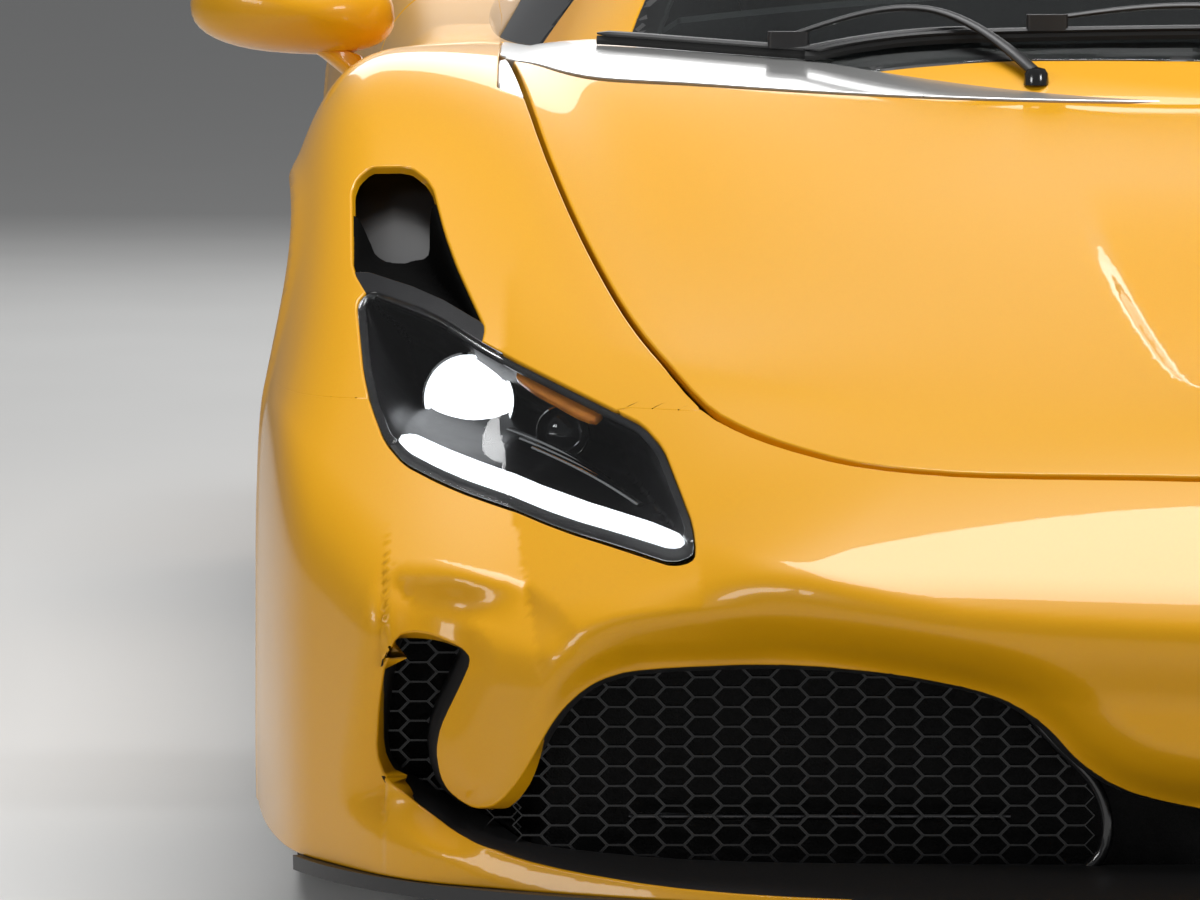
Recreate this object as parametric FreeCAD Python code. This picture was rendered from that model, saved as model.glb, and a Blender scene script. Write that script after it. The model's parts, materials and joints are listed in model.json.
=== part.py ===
"""Mid-engined two-seat supercar as an assembly of separate pieces.

Frame: millimetres, +X to the car's left, -Y ahead of its nose, +Z up.
The origin is on the ground under the middle of the car.
"""
import FreeCAD, Part, Sketcher
import math
import os
from FreeCAD import Vector, Rotation, Placement

doc = FreeCAD.newDocument("supercar")

# Driving dimensions
sheet = doc.addObject("Spreadsheet::Sheet", "dims")
DIMENSIONS = [
    ("length", 4611), ("width", 1979), ("height", 1206), ("wheelbase", 2650), ("front_overhang", 1120),
    ("bonnet_setback", 200),
    ("track_front", 1677), ("track_rear", 1646), ("floor_height", 112), ("floor_thick", 18),
    ("tyre_front_radius", 340), ("tyre_front_width", 245), ("tyre_rear_radius", 345.5), ("tyre_rear_width", 305),
    ("rim_radius", 254), ("rim_wall", 12), ("kingpin_offset", 88), ("kingpin_radius", 13), ("disc_thick", 34),
    ("disc_front_radius", 199), ("disc_rear_radius", 180), ("hub_radius", 42), ("stub_radius", 24),
    ("skin", 30), ("door_thick", 125), ("glass_thick", 5), ("shut_gap", 6), ("seat_gap", 0.3),
    ("pin_clearance", 0.06), ("arch_front_radius", 374), ("arch_rear_radius", 380),
    ("door_front", -600), ("door_rear", 420), ("sill_height", 262), ("bumper_seam", 540),
    ("hinge_inset", 80), ("hinge_lead", 66), ("hinge_pin_radius", 9), ("hinge_eye_radius", 18),
    ("bonnet_hinge_height", 700), ("bonnet_hinge_y", -917), ("bonnet_swing_radius", 165),
    ("cover_hinge_height", 1085), ("cover_hinge_y", 700), ("cover_swing_radius", 105), ("cover_half_width", 430),
    ("mesh_pitch", 34), ("mesh_bar", 6), ("mesh_thick", 5),
    ("tub_half_width", 770), ("boot_half_width", 440), ("boot_wall", 12),
    ("seat_width", 500), ("seat_centre", 370), ("steering_wheel_radius", 180),
    ("engine_length", 700), ("engine_width", 640), ("engine_height", 520),
    ("exhaust_radius", 58), ("exhaust_wall", 4), ("exhaust_half_spacing", 590), ("exhaust_height", 372),
    ("tail_lamp_radius", 74), ("tail_lamp_height", 700), ("tail_lamp_outer", 760), ("tail_lamp_inner", 570),
    ("jack_pad", 70), ("jack_pad_depth", 8),
    ("louvre_count", 5), ("louvre_pitch", 130), ("louvre_length", 42), ("louvre_width", 270), ("louvre_spine", 60),
]
for row_number, (alias, value) in enumerate(DIMENSIONS, 1):
    sheet.set("A%d" % row_number, alias)
    sheet.set("B%d" % row_number, str(value))
    sheet.setAlias("B%d" % row_number, alias)
doc.recompute()


def dim(alias):
    return float(getattr(sheet, alias))


NOSE_Y = -dim("length") / 2
TAIL_Y = dim("length") / 2
FRONT_AXLE_Y = NOSE_Y + dim("front_overhang")
REAR_AXLE_Y = FRONT_AXLE_Y + dim("wheelbase")
HALF_WIDTH = dim("width") / 2
GAP = dim("shut_gap")
pieces = {}


def keep(name, shape):
    """One sub-part whose shape is made with Part's own functions."""
    feature = doc.addObject("Part::Feature", name)
    feature.Label = name
    feature.Shape = shape
    pieces[name] = feature
    return feature


def mirrored(shape):
    return shape.mirror(Vector(0, 0, 0), Vector(1, 0, 0))


def both_sides(shape):
    return Part.makeCompound([shape, mirrored(shape)])


def one_solid(shape):
    """The largest solid of a boolean result, freed of slivers."""
    return max(shape.Solids, key=lambda s: s.Volume)


# Curves
def bulged(a, b, rise, outward):
    """Edge from a to b that bulges by rise towards outward."""
    middle = (a + b) * 0.5
    along = (b - a).normalize()
    side = (outward - along * outward.dot(along)).normalize()
    return Part.Arc(a, middle + side * rise, b).toShape()


def block(x0, x1, y0, y1, z0, z1):
    return Part.makeBox(x1 - x0, y1 - y0, z1 - z0, Vector(x0, y0, z0))


def rod(start, end, radius):
    return Part.makeCylinder(radius, (end - start).Length, start, end - start)


def prism(points, direction, radius=0):
    """Straight-sided cutter from an outline of points, swept along direction, its corners rounded by radius."""
    if radius:
        return Part.Face(rounded(points, radius)).extrude(direction)
    return Part.Face(Part.makePolygon(list(points) + [points[0]])).extrude(direction)


def rounded(points, radius):
    """Closed wire of lines with an arc at every corner. A radius may be given for each corner."""
    count = len(points)
    radii = radius if isinstance(radius, (list, tuple)) else [radius] * count
    starts, ends, middles = [], [], []
    for i, p in enumerate(points):
        before, after = points[i - 1] - p, points[(i + 1) % count] - p
        half = before.getAngle(after) / 2
        reach = min(radii[i] / math.tan(half), 0.45 * before.Length, 0.45 * after.Length)
        r = reach * math.tan(half)
        before.normalize()
        after.normalize()
        inward = (before + after).normalize()
        centre = p + inward * (r / math.sin(half))
        starts.append(p + before * reach)
        ends.append(p + after * reach)
        middles.append(centre - inward * r)
    edges = []
    for i in range(count):
        edges.append(Part.Arc(starts[i], middles[i], ends[i]).toShape())
        edges.append(Part.makeLine(ends[i], starts[(i + 1) % count]))
    return Part.Wire(edges)


# Lower body: sections across the car. Heights are of the centre line, the valley beside the wing, the wing's crest and
# its shoulder. Stations are named by what they stand on.
BODY_STATIONS = [
    # y from, offset, centre z, valley x, valley z, crest x, crest z, shoulder x, shoulder z, sill x
    ("nose", -95, 300, 540, 262, 850, 160, 1050, 100, 1060),
    ("nose", 105, 440, 540, 405, 850, 305, 1050, 200, 1060),
    ("nose", 255, 520, 540, 478, 850, 388, 1050, 300, 1060),
    ("nose", 405, 572, 545, 545, 850, 475, 1020, 400, 1040),
    ("front_axle", -515, 630, 560, 606, 850, 590, 985, 500, 1000),
    ("front_axle", -265, 695, 600, 682, 845, 728, 965, 640, 975),
    ("front_axle", 0, 756, 640, 772, 845, 838, 960, 765, 970),
    ("front_axle", 285, 812, 700, 838, 825, 850, 938, 780, 958),
    ("front_axle", 585, 820, 720, 830, 810, 838, 918, 770, 942),
    ("middle", 0, 800, 720, 806, 810, 822, 905, 750, 930),
    ("middle", 500, 810, 720, 826, 820, 855, 925, 780, 948),
    ("rear_axle", -465, 850, 660, 872, 830, 918, 960, 842, 972),
    ("rear_axle", 0, 880, 620, 896, 832, 948, 970, 860, 980),
    ("rear_axle", 385, 890, 580, 898, 820, 930, 948, 850, 962),
    ("tail", -105, 886, 540, 888, 790, 896, 905, 830, 925),
    ("tail", 95, 882, 520, 882, 740, 884, 865, 810, 885),
]
DATUMS = {"nose": NOSE_Y, "front_axle": FRONT_AXLE_Y, "middle": 0.0, "rear_axle": REAR_AXLE_Y, "tail": TAIL_Y}
BODY_BOTTOM = 60.0


def body_section(row, inset):
    """Closed section wire, inset from the outer skin by a panel's thickness."""
    datum, offset, centre, valley_x, valley_z, crest_x, crest_z, shoulder_x, shoulder_z, sill_x = row
    y = DATUMS[datum] + offset
    right = [
        Vector(valley_x, y, valley_z - inset), Vector(crest_x - 0.3 * inset, y, crest_z - inset),
        Vector(shoulder_x - inset, y, shoulder_z - 0.5 * inset), Vector(sill_x - inset, y, BODY_BOTTOM),
    ]
    left = [Vector(-p.x, p.y, p.z) for p in right]
    rises = (4, 14, 22)
    outward = (Vector(0, 0, 1), Vector(1, 0, 1), Vector(1, 0, 0))
    edges = [Part.Arc(left[0], Vector(0, y, centre - inset + 1), right[0]).toShape()]
    for i in range(3):
        edges.append(bulged(right[i], right[i + 1], rises[i], outward[i]))
    edges.append(Part.makeLine(right[3], left[3]))
    for i in (2, 1, 0):
        way = Vector(-outward[i].x, 0, outward[i].z)
        edges.append(bulged(left[i + 1], left[i], rises[i], way))
    return Part.Wire(edges)


def body_loft(inset):
    return Part.makeLoft([body_section(row, inset) for row in BODY_STATIONS], True, False)


# Plan outline of nose, sides and tail at a few heights
PLAN_LEVELS = [
    # z, nose setback, tail setback
    (40, 12, 95), (372, 0, 60), (700, 45, 30), (900, 105, 0), (1300, 160, 0),
]


def plan_outline(level, inset):
    z, nose_back, tail_back = level
    nose, tail = NOSE_Y + nose_back + inset, TAIL_Y - tail_back - inset
    side = HALF_WIDTH + 25 - inset
    right = [
        Vector(0, nose, z), Vector(600 - 0.4 * inset, nose + 100, z), Vector(840 - 0.8 * inset, nose + 255, z),
        Vector(950 - inset, nose + 505, z), Vector(side, FRONT_AXLE_Y, z), Vector(side, REAR_AXLE_Y + 150, z),
        Vector(965 - inset, tail - 155, z), Vector(820 - inset, tail - 40, z), Vector(0, tail, z),
    ]
    left = [Vector(-p.x, p.y, p.z) for p in right]
    edges = [
        Part.Arc(left[1], right[0], right[1]).toShape(), Part.Arc(right[1], right[2], right[3]).toShape(),
        Part.makeLine(right[3], right[4]), Part.makeLine(right[4], right[5]),
        Part.Arc(right[5], right[6], right[7]).toShape(), Part.Arc(right[7], right[8], left[7]).toShape(),
        Part.Arc(left[7], left[6], left[5]).toShape(), Part.makeLine(left[5], left[4]),
        Part.makeLine(left[4], left[3]), Part.Arc(left[3], left[2], left[1]).toShape(),
    ]
    return Part.Wire(edges)


def plan_loft(inset):
    return Part.makeLoft([plan_outline(level, inset) for level in PLAN_LEVELS], True, False)


# Cabin and fastback: sections across the car
CABIN_STATIONS = [
    # y from, offset, top z, rail x, rail z, base x
    ("front_axle", 85, 770, 480, 745, 560),
    ("front_axle", 285, 856, 560, 818, 690),
    ("front_axle", 585, 990, 566, 940, 752),
    ("front_axle", 885, 1100, 545, 1045, 786),
    ("middle", 0, 1175, 525, 1112, 806),
    ("middle", 280, 1206, 515, 1140, 816),
    ("middle", 620, 1188, 505, 1124, 806),
    ("middle", 1000, 1115, 490, 1060, 770),
    ("rear_axle", -65, 1010, 470, 968, 720),
    ("rear_axle", 285, 895, 450, 868, 660),
    ("rear_axle", 485, 820, 440, 800, 620),
]
CABIN_BASE = 740.0


def cabin_section(row, inset):
    datum, offset, top, rail_x, rail_z, base_x = row
    y = DATUMS[datum] + offset
    top += dim("height") - 1206 if top > 1000 else 0
    rail, base = Vector(rail_x - 0.6 * inset, y, rail_z - 0.6 * inset), Vector(base_x - inset, y, CABIN_BASE - inset)
    rail_left, base_left = Vector(-rail.x, y, rail.z), Vector(-base.x, y, base.z)
    return Part.Wire([
        Part.makeLine(base_left, base), bulged(base, rail, 12, Vector(1, 0, 1)),
        Part.Arc(rail, Vector(0, y, top - inset), rail_left).toShape(), bulged(rail_left, base_left, 12, Vector(-1, 0, 1)),
    ])


def cabin_loft(inset):
    return Part.makeLoft([cabin_section(row, inset) for row in CABIN_STATIONS], True, False)


SKIN = dim("skin")
FAR = 1200.0
CUT_TOP = 1500.0
LEFT = block(0, FAR, NOSE_Y - 60, TAIL_Y + 60, 0, CUT_TOP)
lower_outer = body_loft(0).common(plan_loft(0)).common(LEFT)
lower_inner = body_loft(SKIN).common(plan_loft(SKIN)).common(LEFT)
cabin_outer = cabin_loft(0).common(LEFT)
cabin_inner = cabin_loft(SKIN).common(LEFT)
lower_wall = lower_outer.cut([lower_inner, cabin_inner])
cabin_wall = cabin_outer.cut([cabin_inner, lower_outer])


def whole(half):
    """Both halves of a piece that crosses the centre plane, joined."""
    return half.fuse(mirrored(half))


def skin_height(shape, x, y):
    """Height of a shape's upper surface over a point of the plan."""
    return Part.makeLine(Vector(x, y, 100), Vector(x, y, CUT_TOP)).common(shape).BoundBox.ZMax


def seat_height(shape, x, y, radius):
    """Height at which a round foot clears the sloping surface under it."""
    return max(skin_height(shape, x + dx * radius, y + dy * radius) for dx, dy in ((1, 0), (-1, 0), (0, 1), (0, -1)))


# Cutters
def plan_prism(points, radius=0, low=200):
    return prism([Vector(x, y, low) for x, y in points], Vector(0, 0, CUT_TOP), radius)


def side_prism(points, x0, x1, radius=0):
    """Cutter from an outline in the side view, from x0 to x1."""
    return prism([Vector(x0, y, z) for y, z in points], Vector(x1 - x0, 0, 0), radius)


def front_prism(points, y0, y1, radius=0):
    """Cutter from an outline in the front view, from y0 to y1."""
    return prism([Vector(x, y0, z) for x, z in points], Vector(0, y1 - y0, 0), radius)


def across(y, z, radius, x0=-1.0, x1=FAR):
    return Part.makeCylinder(radius, x1 - x0, Vector(x0, y, z), Vector(1, 0, 0))


FLOOR_Z = dim("floor_height")
TUB_Z = FLOOR_Z + dim("floor_thick")
arches = across(FRONT_AXLE_Y, dim("tyre_front_radius"), dim("arch_front_radius"), 520).fuse(
    across(REAR_AXLE_Y, dim("tyre_rear_radius"), dim("arch_rear_radius"), 560))

# Bonnet, swung about a hinge line under the windscreen's foot
BONNET_FRONT = NOSE_Y + dim("bonnet_setback")
bonnet_y, bonnet_z, bonnet_r = dim("bonnet_hinge_y"), dim("bonnet_hinge_height"), dim("bonnet_swing_radius")


def bonnet_prism(grow):
    points = [
        (-1, BONNET_FRONT - 1.4 * grow), (262 + 0.3 * grow, BONNET_FRONT + 24 - 1.4 * grow), (380 + 0.6 * grow, BONNET_FRONT + 60 - 1.2 * grow),
        (485 + grow, BONNET_FRONT + 154 - grow), (543 + 1.2 * grow, NOSE_Y + 425 - 0.3 * grow), (600 + 1.1 * grow, NOSE_Y + 600),
        (660 + 1.1 * grow, NOSE_Y + 850), (700 + grow, NOSE_Y + 1050), (742 + grow, NOSE_Y + 1400), (-1, NOSE_Y + 1400)]
    ahead_of_hinge = block(-1, FAR, NOSE_Y - 50, bonnet_y, 300, 1100)
    return plan_prism(points).common(ahead_of_hinge).cut(across(bonnet_y, bonnet_z, bonnet_r - grow, -2))


bonnet_hole = bonnet_prism(GAP)

# Doors, swung about an upright pin behind the front wing
hinge_x = HALF_WIDTH - 40 - dim("hinge_inset")
hinge_y = dim("door_front") - dim("hinge_lead")
swing_r = math.hypot(dim("hinge_inset"), dim("hinge_lead"))
rear_r = math.hypot(HALF_WIDTH - 40 - hinge_x, dim("door_rear") - hinge_y)


def door_outline(grow):
    """Side outline. The rear edge is a circle about the hinge pin, so the outline runs past it."""
    front, rear = dim("door_front") - 40 - grow, dim("door_rear") + grow
    low = dim("sill_height") + GAP - grow
    return [(front, low), (rear - 130, low), (rear - 30, low + 110), (rear + 30, low + 420), (rear + 30, 900), (front, 900)]


def upright(radius):
    return Part.makeCylinder(radius, CUT_TOP, Vector(hinge_x, hinge_y, 0), Vector(0, 0, 1))


DOOR_INNER_X = 715.0
door_zone = side_prism(door_outline(0), DOOR_INNER_X, FAR).common(upright(rear_r)).cut(upright(swing_r))
door_hole = side_prism(door_outline(GAP), 600, FAR).common(upright(rear_r + GAP)).cut(upright(swing_r - GAP))

# Engine cover, swung about a hinge line under the roof's rear edge
cover_y, cover_z, cover_r = dim("cover_hinge_y"), dim("cover_hinge_height"), dim("cover_swing_radius")
COVER_REAR = REAR_AXLE_Y + 300
cover_half = dim("cover_half_width")


def cover_prism(grow):
    points = [(-1, cover_y), (cover_half + grow, cover_y), (cover_half - 40 + grow, COVER_REAR - 120),
              (cover_half - 120 + grow, COVER_REAR + grow), (-1, COVER_REAR + grow)]
    return plan_prism(points).cut(across(cover_y, cover_z, cover_r - grow, -2))


cover_hole = cover_prism(GAP)

# Windows
SCREEN = [(-1, NOSE_Y + 1330), (420, NOSE_Y + 1360), (618, NOSE_Y + 1470), (585, NOSE_Y + 1640),
          (452, NOSE_Y + 2120), (-1, NOSE_Y + 2165)]
SIDE_GLASS = [(-570, 700), (-570, 842), (-330, 985), (-60, 1078), (180, 1104), (330, 1070), (414, 960), (414, 700)]
SIDE_GLASS_INSET = [(-560, 700), (-560, 838), (-328, 977), (-59, 1071), (180, 1097), (326, 1064), (408, 956), (408, 700)]
screen_zone = plan_prism(SCREEN, 0, 770)
side_glass_hole = side_prism(SIDE_GLASS, 450, 900)

# Front lamps and the duct above them: outlines in the front view
LAMP = [(584, 520), (546, 436), (556, 416), (675, 438), (781, 470), (838, 494), (864, 548), (878, 636), (800, 614), (738, 580), (656, 548)]
LAMP_DUCT = [(880, 644), (886, 738), (812, 740), (788, 668), (748, 594), (806, 622)]
lamp_zone = front_prism(LAMP, NOSE_Y - 50, FRONT_AXLE_Y, 14)
duct_zone = front_prism(LAMP_DUCT, NOSE_Y - 50, FRONT_AXLE_Y + 40, 10)

# Front intakes: mouth outline on the bumper's face and the smaller one at the grille behind it
GRILLE_Y = NOSE_Y + 230
SIDE_GRILLE_Y = GRILLE_Y + 120
MAIN_MOUTH = [(-60, 192), (130, 200), (240, 285), (360, 318), (600, 320), (655, 300), (716, 205), (690, 136), (-60, 120)]
MAIN_THROAT = [(-60, 198), (130, 206), (240, 270), (360, 292), (590, 294), (630, 280), (686, 204), (668, 150), (-60, 130)]
SIDE_MOUTH = [(730, 376), (842, 392), (868, 210), (846, 172), (795, 180)]
SIDE_THROAT = [(764, 322), (828, 332), (846, 222), (834, 202), (804, 206)]
# The strut between the two mouths ends just above the lip
STRUT_GAP = [(716, 207), (738, 181), (762, 172), (788, 191), (798, 206), (812, 200), (766, 156), (700, 134), (680, 160)]
strut_gap_zone = front_prism(STRUT_GAP, NOSE_Y - 50, SIDE_GRILLE_Y - 40, 5)
DUCT_WALL = 12.0


def funnel(mouth, throat, grow, y_mouth, y_throat):
    wires = []
    for outline, y in ((mouth, y_mouth), (throat, y_throat)):
        flat = rounded([Vector(x, y, z) for x, z in outline], 24)
        wires.append(flat.makeOffset2D(grow) if grow else flat)
    return Part.makeLoft(wires, True, True).common(LEFT)


funnels_out = [funnel(MAIN_MOUTH, MAIN_THROAT, DUCT_WALL, NOSE_Y - 40, GRILLE_Y),
               funnel(SIDE_MOUTH, SIDE_THROAT, DUCT_WALL, NOSE_Y - 40, SIDE_GRILLE_Y)]
funnels_in = [funnel(MAIN_MOUTH, MAIN_THROAT, 0, NOSE_Y - 41, GRILLE_Y + 1),
              funnel(SIDE_MOUTH, SIDE_THROAT, 0, NOSE_Y - 41, SIDE_GRILLE_Y + 1)]

# Rear openings
TAIL_CUT_Y = TAIL_Y - 140
LAMP_SPOTS = [dim("tail_lamp_outer"), dim("tail_lamp_inner")]


def tail_rod(x, z, radius, y0=TAIL_CUT_Y, y1=TAIL_Y + 60):
    return Part.makeCylinder(radius, y1 - y0, Vector(x, y0, z), Vector(0, 1, 0))


TAIL_MESH = [(-1, 520), (470, 520), (500, 600), (440, 640), (-1, 640)]
TAIL_LOW = [(-1, 300), (480, 300), (440, 150), (440, 60), (-1, 60)]
tail_mesh_zone = front_prism(TAIL_MESH, TAIL_CUT_Y - 60, TAIL_Y + 60)
tail_cutters = [tail_rod(x, dim("tail_lamp_height"), dim("tail_lamp_radius") + 0.3) for x in LAMP_SPOTS]
tail_cutters += [tail_rod(dim("exhaust_half_spacing"), dim("exhaust_height"), dim("exhaust_radius") + 10),
                 tail_mesh_zone, front_prism(TAIL_LOW, TAIL_CUT_Y - 160, TAIL_Y + 60)]

REAR_GRILLE_Y = TAIL_Y - 120
mesh_wire = rounded([Vector(x, REAR_GRILLE_Y + dim("mesh_thick"), z) for x, z in [(-60, 520)] + TAIL_MESH[1:4] + [(-60, 640)]], 24)
mesh_duct = Part.Face(mesh_wire.makeOffset2D(12)).extrude(Vector(0, 200, 0)).common(LEFT)

# Side intakes behind the doors, each a short duct that narrows inwards
SIDE_INTAKE = [(545, 470), (640, 470), (760, 560), (720, 690), (610, 705), (560, 600)]
intake_hole = side_prism(SIDE_INTAKE, 500, FAR, 20)
INTAKE_BACK_X = 790.0


# Fixed panels: one wall, cut where the real panels meet
BUMPER_TOP = dim("bumper_seam")
SILL_TOP = dim("sill_height")
TAIL_SEAM = REAR_AXLE_Y + 440
bumper_zone = block(-1, FAR, NOSE_Y - 60, FRONT_AXLE_Y, FLOOR_Z, BUMPER_TOP)
wing_top_zone = block(-1, FAR, NOSE_Y - 60, FRONT_AXLE_Y, BUMPER_TOP, 1000)
wing_rear_zone = block(-1, FAR, FRONT_AXLE_Y, 0, SILL_TOP, 1000)
quarter_zone = block(-1, FAR, 0, TAIL_SEAM, SILL_TOP, 1100)
sill_zone = block(500, FAR, FRONT_AXLE_Y, REAR_AXLE_Y, FLOOR_Z, SILL_TOP)
tail_zone = block(-1, FAR, TAIL_SEAM, TAIL_Y + 60, FLOOR_Z, 1100)
rear_corner_zone = block(500, FAR, REAR_AXLE_Y, TAIL_SEAM, FLOOR_Z, SILL_TOP)
COWL_HALF_WIDTH = 742.0
cowl_zone = block(-1, COWL_HALF_WIDTH, FRONT_AXLE_Y, -400, 600, 1000)

front_half = lower_wall.common(bumper_zone).cut([arches, bonnet_hole, lamp_zone, duct_zone])
ducts = funnels_out[0].fuse(funnels_out[1]).common(lower_outer).common(bumper_zone)
front_half = front_half.fuse(ducts).cut(funnels_in + [strut_gap_zone])
keep("front_bumper", one_solid(whole(one_solid(front_half))))
wing = lower_wall.common(wing_top_zone.fuse(wing_rear_zone)).cut(
    [arches, bonnet_hole, door_hole, lamp_zone, duct_zone, cowl_zone])
wing = one_solid(wing)
keep("front_wing_left", wing)
keep("front_wing_right", mirrored(wing))
cowl = one_solid(lower_wall.common(cowl_zone).cut([bonnet_hole, door_hole]))
keep("cowl_panel", one_solid(whole(cowl)))
intake_wire = rounded([Vector(INTAKE_BACK_X, y, z) for y, z in SIDE_INTAKE], 20)
intake_duct = Part.Face(intake_wire.makeOffset2D(DUCT_WALL)).extrude(Vector(FAR - INTAKE_BACK_X, 0, 0)).common(lower_outer)
quarter = lower_wall.common(quarter_zone).fuse(intake_duct)
quarter = one_solid(quarter.cut([intake_hole.common(block(INTAKE_BACK_X + 10, FAR, 400, 900, 300, 900)), arches, door_hole, cover_hole]))
keep("rear_quarter_left", quarter)
keep("rear_quarter_right", mirrored(quarter))
sill = one_solid(lower_wall.common(sill_zone).cut([arches, door_hole]))
keep("sills", both_sides(sill))
roof = one_solid(cabin_wall.cut([screen_zone, side_glass_hole, cover_hole, door_hole]))
keep("roof_frame", one_solid(whole(roof)))
tail = lower_wall.common(tail_zone.fuse(rear_corner_zone)).fuse(mesh_duct.common(lower_outer))
tail = one_solid(tail.cut([arches] + tail_cutters))
keep("rear_bumper", one_solid(whole(tail)))

# Bonnet, doors and cover
HINGE_PIN = dim("hinge_pin_radius")
EYE = dim("hinge_eye_radius")
BORE = HINGE_PIN + dim("pin_clearance")
BONNET_HINGE_X = 480.0
COVER_HINGE_X = 250.0
EYE_HALF = 11.0


def eye_across(x, y, z):
    return across(y, z, EYE, x - EYE_HALF, x + EYE_HALF)


def bore_across(x, y, z):
    return across(y, z, BORE, x - EYE_HALF - 1, x + EYE_HALF + 1)


bonnet_arm = side_prism([
    (bonnet_y, bonnet_z + 4), (bonnet_y, bonnet_z - 18), (bonnet_y - 235, bonnet_z - 98), (bonnet_y - 235, bonnet_z + 200),
    (bonnet_y - 188, bonnet_z + 200), (bonnet_y - 188, bonnet_z - 60)], BONNET_HINGE_X - EYE_HALF, BONNET_HINGE_X + EYE_HALF)
bonnet = one_solid(lower_wall.common(bonnet_prism(0)))
bonnet = bonnet.fuse([bonnet_arm.common(lower_outer), eye_across(BONNET_HINGE_X, bonnet_y, bonnet_z)])
bonnet = one_solid(bonnet.cut(bore_across(BONNET_HINGE_X, bonnet_y, bonnet_z)))
keep("bonnet", one_solid(whole(bonnet)))
cover_arm = side_prism([
    (cover_y, cover_z + 2), (cover_y, cover_z - 18), (cover_y + 160, cover_z - 140), (cover_y + 160, cover_z + 100),
    (cover_y + 126, cover_z + 100), (cover_y + 126, cover_z - 94)], COVER_HINGE_X - EYE_HALF, COVER_HINGE_X + EYE_HALF)
louvres = []
for i in range(int(dim("louvre_count"))):
    y0, y1 = cover_y + 280 + i * dim("louvre_pitch"), cover_y + 280 + i * dim("louvre_pitch") + dim("louvre_length")
    x0, x1 = dim("louvre_spine"), dim("louvre_spine") + dim("louvre_width")
    louvres.append(plan_prism([(x0, y0), (x1, y0), (x1, y1), (x0, y1)], dim("louvre_length") / 3))
cover_wall = lower_wall.fuse(cabin_wall).common(cover_prism(0)).cut(louvres)
cover = one_solid(cover_wall).fuse([cover_arm.common(cabin_outer), eye_across(COVER_HINGE_X, cover_y, cover_z)])
cover = one_solid(cover.cut(bore_across(COVER_HINGE_X, cover_y, cover_z)))
keep("engine_cover", one_solid(whole(cover)))

DOOR_EYES = [(380, 430), (590, 640)]
door = one_solid(lower_outer.cut(body_loft(dim("door_thick"))).common(door_zone))
ARM_ANGLE, BOSS_ANGLES = 50.0, (24.0, 57.0)     # degrees inboard of straight back
arm_reach = Vector(-math.sin(math.radians(ARM_ANGLE)), math.cos(math.radians(ARM_ANGLE)), 0)
arm_side = Vector(arm_reach.y, -arm_reach.x, 0) * 10
hinge_foot = Vector(hinge_x, hinge_y, 0)
eyes, bores = [], []
for z0, z1 in DOOR_EYES:
    foot = hinge_foot + Vector(0, 0, z0)
    tip = foot + arm_reach * (swing_r + 16)
    eyes.append(prism([foot - arm_side, tip - arm_side, tip + arm_side, foot + arm_side], Vector(0, 0, z1 - z0)))
    eyes.append(Part.makeCylinder(EYE, z1 - z0, foot))
    ring = Part.makeCylinder(swing_r + 32, z1 - z0, foot).cut(Part.makeCylinder(swing_r, z1 - z0, foot))
    rays = [foot + Vector(-math.sin(math.radians(a)), math.cos(math.radians(a)), 0) * 300 for a in BOSS_ANGLES]
    eyes.append(ring.common(prism([foot] + rays, Vector(0, 0, z1 - z0))))
    bores.append(Part.makeCylinder(BORE, z1 - z0 + 2, hinge_foot + Vector(0, 0, z0 - 1)))
door = one_solid(door.fuse(eyes).cut(bores))
keep("door_left", door)
keep("door_right", mirrored(door))

# Glass
GLASS = dim("glass_thick")
glass_wall = cabin_outer.cut([cabin_loft(GLASS), lower_outer])
windscreen = one_solid(glass_wall.common(screen_zone))
keep("windscreen", one_solid(whole(windscreen)))
PANE_SET_BACK = 10.0
pane_wall = cabin_loft(PANE_SET_BACK).common(LEFT).cut(cabin_loft(PANE_SET_BACK + GLASS))
pane = pane_wall.common(side_prism(SIDE_GLASS_INSET, 450, 900)).cut([door, lower_outer.cut(door_zone)])
pane = one_solid(pane)
keep("door_glass_left", pane)
keep("door_glass_right", mirrored(pane))

# Structure under the panels. Everything here stops at the inner face of the panels.
FRONT_BULKHEAD_Y = dim("door_front") - 160
REAR_BULKHEAD_Y = dim("door_rear") + 60
BOOT = dim("boot_half_width")
BOOT_WALL = dim("boot_wall")
BOOT_FRONT, BOOT_REAR = NOSE_Y + 420, bonnet_y - 60
WHEEL_BAY = 430.0
tub_half = dim("tub_half_width")
floor = block(-1, FAR, SIDE_GRILLE_Y + 20, TAIL_SEAM + 40, FLOOR_Z, TUB_Z).cut([
    block(WHEEL_BAY, FAR, FRONT_AXLE_Y - 420, FRONT_AXLE_Y + 420, 0, 400),
    block(WHEEL_BAY, FAR, REAR_AXLE_Y - 420, REAR_AXLE_Y + 420, 0, 400)])
boot_box = block(-1, BOOT, BOOT_FRONT, BOOT_REAR, TUB_Z, 800).cut(
    block(-2, BOOT - BOOT_WALL, BOOT_FRONT + BOOT_WALL, BOOT_REAR - BOOT_WALL, TUB_Z - 1, 900))
boot_box = boot_box.common(body_loft(SKIN + 20)).common(LEFT)
front_bulkhead = block(-1, tub_half, FRONT_BULKHEAD_Y - 14, FRONT_BULKHEAD_Y, TUB_Z, 900)
rear_bulkhead = block(-1, tub_half - 60, REAR_BULKHEAD_Y, REAR_BULKHEAD_Y + 14, TUB_Z, 800)
hinge_pillar = block(690, 790, hinge_y - 70, hinge_y + 18, TUB_Z, 900)
sill_box = block(700, FAR, FRONT_AXLE_Y + 430, REAR_AXLE_Y - 430, TUB_Z, SILL_TOP - 20)
tunnel = block(-1, 110, FRONT_BULKHEAD_Y, REAR_BULKHEAD_Y, TUB_Z, TUB_Z + 190)
pin_plates = []
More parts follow.
